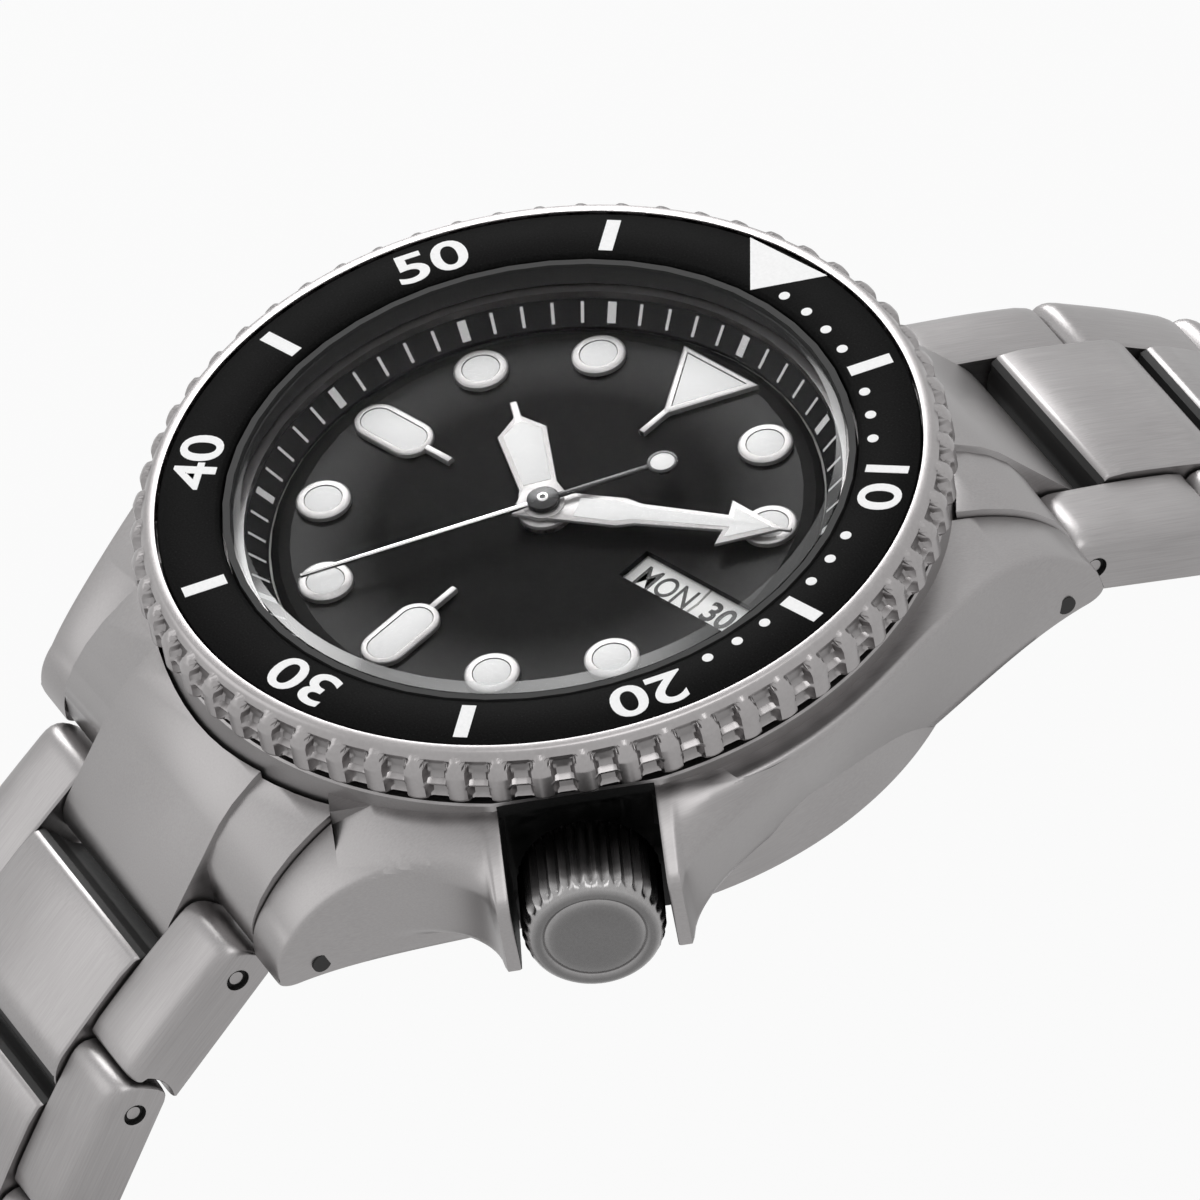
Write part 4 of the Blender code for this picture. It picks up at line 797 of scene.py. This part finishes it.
def hand_piece(name, outline, inner, z, thick, boss, angle):
    form = bmesh.new()
    pad(form, outline, z, thick, 0.00004)
    pad(form, circle(0, boss, 48), z - 0.00001, thick + 0.00005, 0.00005)
    turn_form(form, angle)
    new_piece(name + "_blade", form, rim_steel, name + "_hand", name + "_hand")
    form = bmesh.new()
    pad(form, inner, z + thick * 0.5, thick * 0.5 + 0.00003, 0.00004)
    turn_form(form, angle)
    new_piece(name + "_lume", form, lume_white, name + "_hand")


def between(points, value):
    """Read a broken line of value and level pairs."""
    for (start, first), (end, last) in zip(points, points[1:]):
        if value <= end:
            return first + (last - first) * (value - start) / (end - start)
    return points[-1][1]


def eased(value):
    value = min(1.0, max(0.0, value))
    return value * value * (3 - 2 * value)


def make_bezel():
    """Bezel ring with sixty round-topped grips; a cross bar parts the hollows between them."""
    low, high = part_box("bezel_ring")
    base = low.z
    tall = high.z - base
    crest = 0.0205
    floor_line = (
        (0.0, 0.0190), (0.0001, 0.0196), (0.00035, 0.0200), (0.00048, 0.01982), (0.00095, 0.01972),
        (0.0011, 0.0200), (0.00125, 0.02022), (0.00138, 0.02022), (0.0015, 0.0199), (0.0018, 0.01978),
        (0.0023, 0.01978),
        (tall - 0.0004, 0.01985), (tall - 0.0001, 0.01965), (tall, 0.0195),
    )
    grip_line = (
        (0.0, 0.0190), (0.0001, 0.0198), (0.0003, 0.0203), (0.0005, crest), (0.0019, crest),
        (0.0023, crest - 0.00018), (tall - 0.00035, 0.02005), (tall, 0.0195),
    )
    arch_start = 0.0017
    arch_rise = tall - 0.0003 - arch_start
    heights = [tall * k / 44 for k in range(45)]
    outside = [(between(floor_line, h), base + h) for h in heights]
    profile = [(0.0181, base + 0.0001)] + outside
    profile += [
        (0.01912, high.z - 0.00001), (0.0191, high.z - 0.00006), (0.0191, high.z - 0.0009),
        (0.0181, high.z - 0.0011),
    ]
    form = turned(profile, 1080)
    pitch = tau / 60
    grip_half = 0.00058
    for vert in form.verts:
        reach = vert.co.xy.length
        height = vert.co.z - base
        if reach < 0.01945 and height > tall - 0.0002 or reach < 0.0189:
            continue
        turn = atan2(vert.co.y, vert.co.x) / pitch
        across = abs(turn - round(turn)) * pitch * crest
        half = grip_half
        if height > arch_start:
            rise = min(1.0, (height - arch_start) / arch_rise)
            half = grip_half * sqrt(1 - rise * rise) if rise < 1 else -0.001
        share = eased((half + 0.00005 - across) / 0.0001)
        proud = between(grip_line, height) - 0.00016 * min(1, across / grip_half) ** 2
        wanted = reach + (max(proud, reach) - reach) * share
        vert.co.xy *= wanted / reach
    turn_form(form, BEZEL_TURN)
    new_piece("bezel_grips", form, bezel_steel, "bezel", "bezel_ring", edge=40)


def make_crown():
    """Crown with pointed flutes, a rounded bright rim and a shallow dished end."""
    start = 0.0204
    end = 0.0255
    crest = 0.00353
    bore_end = start + 0.0026
    profile = [(0, bore_end), (0.0025, bore_end), (0.0025, start), (0.0031, start), (0.0034, start + 0.0002)]
    profile += [(crest, start + 0.00045 + k * 0.00025) for k in range(15)]
    profile += [
        (0.00346, end - 0.00085), (0.00336, end - 0.00062), (0.00326, end - 0.00042), (0.0031, end - 0.00024),
        (0.0029, end - 0.00014), (0.0027, end - 0.00012), (0.00256, end - 0.0002), (0.00248, end - 0.0003),
        (0.0024, end - 0.00026), (0.0022, end - 0.00016), (0.0014, end - 0.00005), (0, end - 0.00002),
    ]
    form = turned(profile, 432, False)
    pitch = tau / 36
    for vert in form.verts:
        reach = vert.co.xy.length
        if reach < 0.0033 or vert.co.z < start + 0.0003:
            continue
        turn = atan2(vert.co.y, vert.co.x) / pitch
        across = 2 * abs(turn - round(turn))
        fade = eased((end - 0.00045 - vert.co.z) / 0.0005)
        vert.co.xy *= (reach - 0.00024 * across * fade) / reach
    bmesh.ops.rotate(form, verts=form.verts, cent=(0, 0, 0), matrix=Matrix.Rotation(pi / 2, 3, "Y"))
    turn_form(form, CROWN_ANGLE)
    bmesh.ops.translate(form, verts=form.verts, vec=(0, 0, CROWN_HEIGHT))
    new_piece("crown_barrel", form, crown_steel, "crown", "crown", edge=30)


LUG_REACH = 0.0232
LUG_INNER = 0.0103
SLOT_HALF = 0.00383
SLOT_END = 0.0194
CASE_HALF = 0.0212
FOOT_HALF = 0.0184
LUG_END_HALF = 0.013
CAVITY = 0.0172
GUARD_TIP = 0.0246
GUARD_LOW = 0.0016


def top_line(y):
    along = max(0.0, abs(y) - 0.0086) / (LUG_REACH - 0.0086)
    return 0.0024 + 0.0074 * sqrt(max(0.0, 1 - along ** 2))


def flank(y, middle):
    along = min(1.0, abs(y) / LUG_REACH)
    return LUG_END_HALF + (middle - LUG_END_HALF) * (1 - along ** 2) ** 1.9


def flank_bulge(share, half):
    return 0.0012 * share * (1 - share) * (0.2 + 0.8 * (half - LUG_END_HALF) / 0.0082)


def rail_section(y):
    """Section of one long side of the case, with its lugs, at a place along it."""
    top = top_line(y)
    half = flank(y, CASE_HALF)
    foot = flank(y, FOOT_HALF)
    tuck = min(1.0, max(0.0, abs(y) - 0.0222) / 0.001)
    low = 0.0012 + 0.0006 * (1 - sqrt(1 - tuck * tuck))
    edge = top - 0.0008 * (1 - 0.6 * tuck)
    inner = max(LUG_INNER, sqrt(max(0.0, CAVITY ** 2 - y * y)))

    def roof(x):
        return top - (top - edge) * (x - 0.0076) / (half - 0.0076)

    points = [(inner, low + 0.0001), (inner + 0.0001, low)]
    points += [(foot - 0.0005, low), (foot - 0.0002, low + 0.00003)]
    start = low + 0.00022
    end = max(start + 0.0001, edge - 0.00028)
    for k in range(13):
        share = k / 12
        reach = foot + (half - foot) * share + flank_bulge(share, half)
        points.append((reach, start + (end - start) * share))
    for back, drop in ((0.00002, 0.00016), (0.00008, 0.00006), (0.0002, -0.00001)):
        points.append((half - back, max(low + 0.0004, edge - drop)))
    points += [(x, roof(x)) for x in (half - 0.0004, inner + 0.00015)]
    points.append((inner, roof(inner) - 0.00012))
    return points


def skinned(form, rows, first_cap=True, last_cap=True):
    """Skin a row of equal outlines and close its ends; returns the rows of vertices."""
    made = [[form.verts.new(point) for point in row] for row in rows]
    for low, high in zip(made, made[1:]):
        for k in range(len(low)):
            after = (k + 1) % len(low)
            form.faces.new((low[k], low[after], high[after], high[k]))
    if first_cap:
        form.faces.new(made[0])
    if last_cap:
        form.faces.new(made[-1])
    return made


def clear_slot(form):
    """Push what stands in the crown's recess back to the end of the recess."""
    out = Vector((cos(CROWN_ANGLE), sin(CROWN_ANGLE)))
    side = Vector((-out.y, out.x))
    for vert in form.verts:
        place = vert.co.xy
        if abs(place.dot(side)) < SLOT_HALF + 0.0002 and place.dot(out) > SLOT_END:
            vert.co.xy = place - out * (place.dot(out) - SLOT_END)


def flank_reach(across, z):
    """How far out along the crown's axis the flank lies, at a distance from that axis and a height."""
    out = 0.02
    for _ in range(60):
        y = out * sin(CROWN_ANGLE) + across * cos(CROWN_ANGLE)
        share = min(1.0, max(0.0, (z - 0.0014) / max(0.001, top_line(y) - 0.0025)))
        half = flank(y, CASE_HALF)
        foot = flank(y, FOOT_HALF)
        reach = foot + (half - foot) * share + flank_bulge(share, half)
        wanted = (reach + across * sin(CROWN_ANGLE)) / cos(CROWN_ANGLE)
        out += 0.5 * (wanted - out)
    return out - 2.2 * max(0.0, z - top_line(y) + 0.0009)


def guard_section(across):
    """Section of a crown guard at a distance from the crown's axis; it swells out of the flank to its tip."""
    share = min(1.0, max(0.0, (abs(across) - SLOT_HALF - 0.0008) / 0.0072))
    swell = 1 - sqrt(max(0.0, 1 - (1 - share) ** 2))
    high = 0.00885 + 0.00055 * (1 - share) ** 2
    inner = min(CAVITY, flank_reach(across, GUARD_LOW) - 0.001)
    points = [(inner, high), (inner, GUARD_LOW)]
    for k in range(31):
        z = GUARD_LOW + (high - GUARD_LOW) * k / 30
        base = flank_reach(across, z) - 0.00006
        level = eased((0.0095 - z) / 0.0022) * eased((z - 0.0022) / 0.0013)
        points.append((base + (GUARD_TIP - base) * swell * level, z))
    return points


def cross_rod(form, middle, radius, length, segments):
    """A short rod that lies across the watch."""
    return bmesh.ops.create_cone(
        form, cap_ends=True, segments=segments, radius1=radius, radius2=radius, depth=length,
        matrix=Matrix.Translation(middle) @ Matrix.Rotation(pi / 2, 4, "Y"),
    )


def make_case():
    """Case: a drum with two long sides that carry the lugs, and a pair of crown guards."""
    neck_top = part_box("case_middle")[1].z
    ledge_foot = LEDGE_TOP - 0.00045
    drum = turned([
        (0.0166, 0.00125), (0.0199, 0.0013), (0.0199, 0.0097), (0.0198, 0.0098), (0.0179, 0.0098),
        (0.0179, neck_top), (0.01585, neck_top), (0.01585, LEDGE_TOP), (0.0149, LEDGE_TOP),
        (0.0149, ledge_foot), (0.0152, ledge_foot), (0.0152, BACK_STEP), (0.0166, BACK_STEP),
    ], 240)
    clear_slot(drum)
    form = bmesh.new()
    stations = [LUG_REACH * sin(pi * (k / 140 - 0.5)) for k in range(141)]
    for sign in (-1, 1):
        skinned(form, [[(sign * x, y, z) for x, z in rail_section(y)] for y in stations])
    clear_slot(form)
    guards = bmesh.new()
    for sign in (-1, 1):
        places = [SLOT_HALF + 0.00002 + 0.0082 * (k / 48) ** 1.3 for k in range(49)]
        rows = []
        for k, across in enumerate(places):
            inset = (0.00008, 0.00003, 0.0)[k] if k < 3 else 0.0
            row = guard_section(sign * across)
            rows.append([(out - inset if out > 0.0195 else out, sign * across, z) for out, z in row])
        skinned(guards, rows)
    turn_form(guards, CROWN_ANGLE)
    for part in (form, guards):
        bmesh.ops.recalc_face_normals(part, faces=part.faces)
    new_piece("case_body", joined(drum, form, guards), case_brushed, "head", "case_middle", edge=38)
    # Black rods that paint the shade inside the lug holes, on the outer sides of the lugs.
    form = bmesh.new()
    for x_sign in (-1, 1):
        for y in (-0.02096, 0.02096):
            x = flank(y, 0.0199) - 0.00052
            cross_rod(form, (x_sign * x, y, 0.00225), 0.0005, 0.0012, 28)
    new_piece("lug_hole_shade", form, painted_gap_shade, "head")


def make_metal():
    make_case()
    make_bezel()
    make_crown()
    for part in ("cover", "lower_blade", "middle_blade", "button_left", "button_right"):
        eased_copy("clasp_" + part, 0.0001, clasp_steel)


LINK_PITCH = 0.00855
LINK_UNDER = 0.00115
CENTRE_HALF = 0.0056
OUTER_START = 0.00575
LINK_HALF = 0.0101


def lofted(form, stations, first_cap=True, last_cap=True):
    """Skin a row of equal outlines across X; each outline holds pairs along the link and up."""
    rows = [[(x, u, v) for u, v in outline] for x, outline in stations]
    return skinned(form, rows, first_cap, last_cap)


def half_round(u, top, reach, start, end, count):
    middle = (top - LINK_UNDER) / 2
    half = (top + LINK_UNDER) / 2
    steps = [start + (end - start) * k / (count - 1) for k in range(count)]
    return [(u + reach * cos(a), middle + half * sin(a)) for a in steps]


NOSE = (
    (-1.2, -1.0), (-1.45, -0.94), (-1.62, -0.78), (-1.72, -0.45), (-1.76, 0.0), (-1.72, 0.3),
    (-1.62, 0.56), (-1.45, 0.76), (-1.2, 0.89), (-0.9, 0.96), (-0.5, 0.99), (0.0, 1.0),
)


def crowned(top, shares):
    """Points along a link's slightly arched top."""
    return [(LINK_PITCH * share, top + 0.00012 * sin(pi * share)) for share in shares]


def outer_side(top, inset=0.0):
    """Side view of an outer link: round at its own pin, scooped where the next one starts."""
    points = [(u * 0.001 + inset, v * (top if v > 0 else LINK_UNDER)) for u, v in NOSE]
    points += crowned(top, (0.15, 0.3, 0.45, 0.6, 0.72))
    points += [(0.00672 - inset, top), (0.0069 - inset, top - 0.00005), (0.007 - inset, top - 0.00018)]
    start = pi - asin((top - 0.00045) / 0.00214)
    end = pi + asin(LINK_UNDER / 0.002)
    for k in range(11):
        share = k / 10
        reach = 0.00214 - 0.00014 * share + inset
        angle = start + (end - start) * share
        points.append((LINK_PITCH + reach * cos(angle), reach * sin(angle)))
    return points


def centre_side(top, inset=0.0):
    """Side view of a centre link: set well back from its own pin, round at the next."""
    points = []
    for k in range(9):
        angle = -0.45 + k * 1.1 / 8
        reach = 0.00242 + 0.0005 * eased((angle - 0.3) / 0.35) + inset
        points.append((reach * cos(angle), max(-LINK_UNDER, reach * sin(angle))))
    points += [(0.00255 + inset, top - 0.00022), (0.00268 + inset, top - 0.00006), (0.0029, top)]
    points += crowned(top, (0.45, 0.6, 0.75, 0.88))
    points += half_round(LINK_PITCH, top, 0.00212 - inset, pi / 2, -pi / 2, 21)
    return points


def pin_end(form, cap, sign):
    """Close an outer link's side with the sunk end of its pin; the hole's deep walls take painted shade."""
    x = sign * LINK_HALF
    ring = [form.verts.new((x, u, v)) for u, v in arc(0, 0.0001, 0.00074, 0, tau, 28)]
    edges = [form.edges.new((ring[k], ring[(k + 1) % 28])) for k in range(28)]
    edges += [form.edges.get((cap[k], cap[(k + 1) % len(cap)])) for k in range(len(cap))]
    bmesh.ops.triangle_fill(form, use_beauty=True, use_dissolve=False, edges=edges)
    # Faces of the hole's deep walls, which get the black of painted shade.
    painted_shade = []
    for reach, depth in ((0.0006, 0.00008), (0.00058, 0.0004), (0.00042, 0.0004), (0.00036, 0.00028)):
        row = [form.verts.new((x - sign * depth, u, v)) for u, v in arc(0, 0.0001, reach, 0, tau, 28)]
        for k in range(28):
            face = form.faces.new((ring[k], ring[(k + 1) % 28], row[(k + 1) % 28], row[k]))
            if depth > 0.0001 and reach > 0.0004:
                painted_shade.append(face)
        ring = row
    form.faces.new(ring)
    for face in painted_shade:
        face.material_index = 1


def make_link(name, place, steel):
    """One link: a centre piece, two outer pieces and the pin to the next link."""
    form = bmesh.new()
    top = 0.0023
    edge = CENTRE_HALF
    lofted(form, [
        (-edge, centre_side(top - 0.0001, 0.00006)), (-edge + 0.00006, centre_side(top - 0.00003, 0.00002)),
        (-edge + 0.00014, centre_side(top)), (edge - 0.00014, centre_side(top)),
        (edge - 0.00006, centre_side(top - 0.00003, 0.00002)), (edge, centre_side(top - 0.0001, 0.00006)),
    ])
    # Faces tucked under the next link or scooped under the last get the black of painted shade.
    for face in form.faces:
        middle = face.calc_center_median()
        scooped = middle.y < 0.0029 and middle.z < top - 0.00035
        tucked = middle.y > LINK_PITCH + 0.0015 and abs(middle.x) < edge - 0.0001
        face.material_index = 1 if scooped or tucked else 0
    for sign in (-1, 1):
        top = 0.00195
        rows = lofted(form, [
            (sign * OUTER_START, outer_side(top - 0.0001, 0.00006)),
            (sign * (OUTER_START + 0.00006), outer_side(top - 0.00003, 0.00002)),
            (sign * (OUTER_START + 0.00014), outer_side(top)), (sign * 0.0085, outer_side(top)),
            (sign * 0.0091, outer_side(top - 0.00004)), (sign * 0.0095, outer_side(top - 0.00012)),
            (sign * 0.0098, outer_side(top - 0.00024, 0.00002)),
            (sign * 0.00998, outer_side(top - 0.00036, 0.00006)),
            (sign * 0.01007, outer_side(top - 0.00048, 0.00012)),
            (sign * LINK_HALF, outer_side(top - 0.0006, 0.0002)),
        ], True, False)
        pin_end(form, rows[-1], sign)
    # The pin across takes the black of painted shade, as it shows only in the shaded gaps.
    rod = cross_rod(form, (0, LINK_PITCH, 0), 0.0006, 0.0112, 20)
    for face in {f for v in rod["verts"] for f in v.link_faces}:
        face.material_index = 1
    bmesh.ops.transform(form, matrix=place, verts=form.verts)
    piece = new_piece(name + "_links", form, steel, name, name, edge=34)
    piece.data.materials.append(painted_gap_shade)


def make_bracelet():
    for side in ("12", "6"):
        sign = 1 if side == "12" else -1
        eased_copy("end_link_" + side, 0.00012, case_brushed)
        for k in range(1, 8):
            here = JOINTS["link_%s_%d_hinge" % (side, k)]["pos_m"]
            after = "link_%s_%d_hinge" % (side, k + 1)
            if after in JOINTS:
                there = JOINTS[after]["pos_m"]
            elif side == "12":
                there = JOINTS["clasp_hinge"]["pos_m"]
            else:
                low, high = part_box("clasp_spring_bar")
                there = low.lerp(high, 0.5)
            slope = atan2(here[2] - there[2], sign * (there[1] - here[1]))
            name = "link_%s_%d" % (side, k)
            steel = brushed_steel(name + "_steel", STEEL_TONE, (-sign * slope, 0, 0), (1, 0.02, 1), 0.36)
            turn = Matrix.Rotation(0 if sign > 0 else pi, 4, "Z") @ Matrix.Rotation(-slope, 4, "X")
            make_link(name, Matrix.Translation((0, here[1], here[2])) @ turn, steel)


# Studio

PLAIN_RAYS = ("Is Camera Ray", "Is Glossy Ray", "Is Transmission Ray")


def make_floor():
    """Pale floor that camera, gloss and glass see as white, and that keeps the object's shadow."""
    mesh = bpy.data.meshes.new("floor")
    form = bmesh.new()
    bmesh.ops.create_grid(form, x_segments=1, y_segments=1, size=3.0)
    bmesh.ops.translate(form, verts=form.verts, vec=(0, 0, CAD_BOX[0][2] - 0.0002))
    form.to_mesh(mesh)
    form.free()
    floor = bpy.data.objects.new("floor", mesh)
    bpy.context.scene.collection.objects.link(floor)
    finish = Finish("floor_white")
    finish.set(Base_Color=(0.6, 0.6, 0.6, 1), Roughness=0.9)
    path = [finish.node("ShaderNodeLightPath", out=kind) for kind in PLAIN_RAYS]
    rays = path[0] + path[1] + path[2]
    seen = finish.node("ShaderNodeMath", {"operation": "MINIMUM"}, {0: rays, 1: 1.0})
    glow = finish.node("ShaderNodeEmission", None, {"Color": (1, 1, 1, 1), "Strength": 1.0})
    body = Signal(finish, finish.shader.outputs[0])
    finish.show(finish.node("ShaderNodeMixShader", None, {0: seen * 0.9, 1: body, 2: glow}))
    mesh.materials.append(finish.material)


def make_surroundings():
    """Soft light that falls off along Y, and white to the rays that see the background."""
    sky = Surroundings("studio")
    place = sky.node("ShaderNodeTexCoord", out="Generated")
    along = sky.node("ShaderNodeSeparateXYZ", None, {0: place}, out=1)
    ends = {"Value": along, "From Min": -0.8, "From Max": 0.8, "To Min": 0.7, "To Max": 0.37}
    level = sky.node("ShaderNodeMapRange", None, ends)
    for kind in PLAIN_RAYS:
        ray = sky.node("ShaderNodeLightPath", out=kind)
        level = sky.node("ShaderNodeMath", {"operation": "MAXIMUM"}, {0: level, 1: ray})
    sky.set(Strength=level, Color=(1, 1, 1, 1))


def make_lamp(name, place, size, power):
    light = bpy.data.lights.new(name, "AREA")
    light.shape = "DISK"
    light.size = size
    light.energy = power
    item = bpy.data.objects.new(name, light)
    bpy.context.scene.collection.objects.link(item)
    item.location = place
    item.rotation_euler = (-Vector(place)).to_track_quat("-Z", "Y").to_euler()


def make_camera():
    """Camera fitted to the photograph."""
    right = Vector((0.46748545, 0.87222014, -0.14383799))
    down = Vector((0.55370866, -0.41575416, -0.72149511))
    ahead = Vector((-0.68910382, 0.25764413, -0.67731487))
    camera = bpy.data.cameras.new("camera")
    camera.sensor_width = 36.0
    camera.lens = 533.508
    camera.clip_start = 0.05
    camera.clip_end = 20.0
    item = bpy.data.objects.new("camera", camera)
    bpy.context.scene.collection.objects.link(item)
    turn = Matrix((right, -down, -ahead)).transposed()
    item.matrix_world = Matrix.Translation((0.60708, -0.22508, 0.60009)) @ turn.to_4x4()
    bpy.context.scene.camera = item


def make_studio():
    make_floor()
    make_surroundings()
    make_lamp("key", (-0.6, -0.8, 0.6), 0.8, 1.4)
    make_lamp("overhead", (0.15, 0.1, 1.1), 0.6, 2.0)
    make_lamp("back", (-0.80, 0.30, 0.56), 0.45, 3.8)
    make_camera()
    bpy.context.scene.view_settings.view_transform = "Standard"


dress_solids()
make_crystal()
make_insert()
make_chapter()
make_markers()
make_calendar()
make_hands()
make_metal()
make_bracelet()
make_studio()
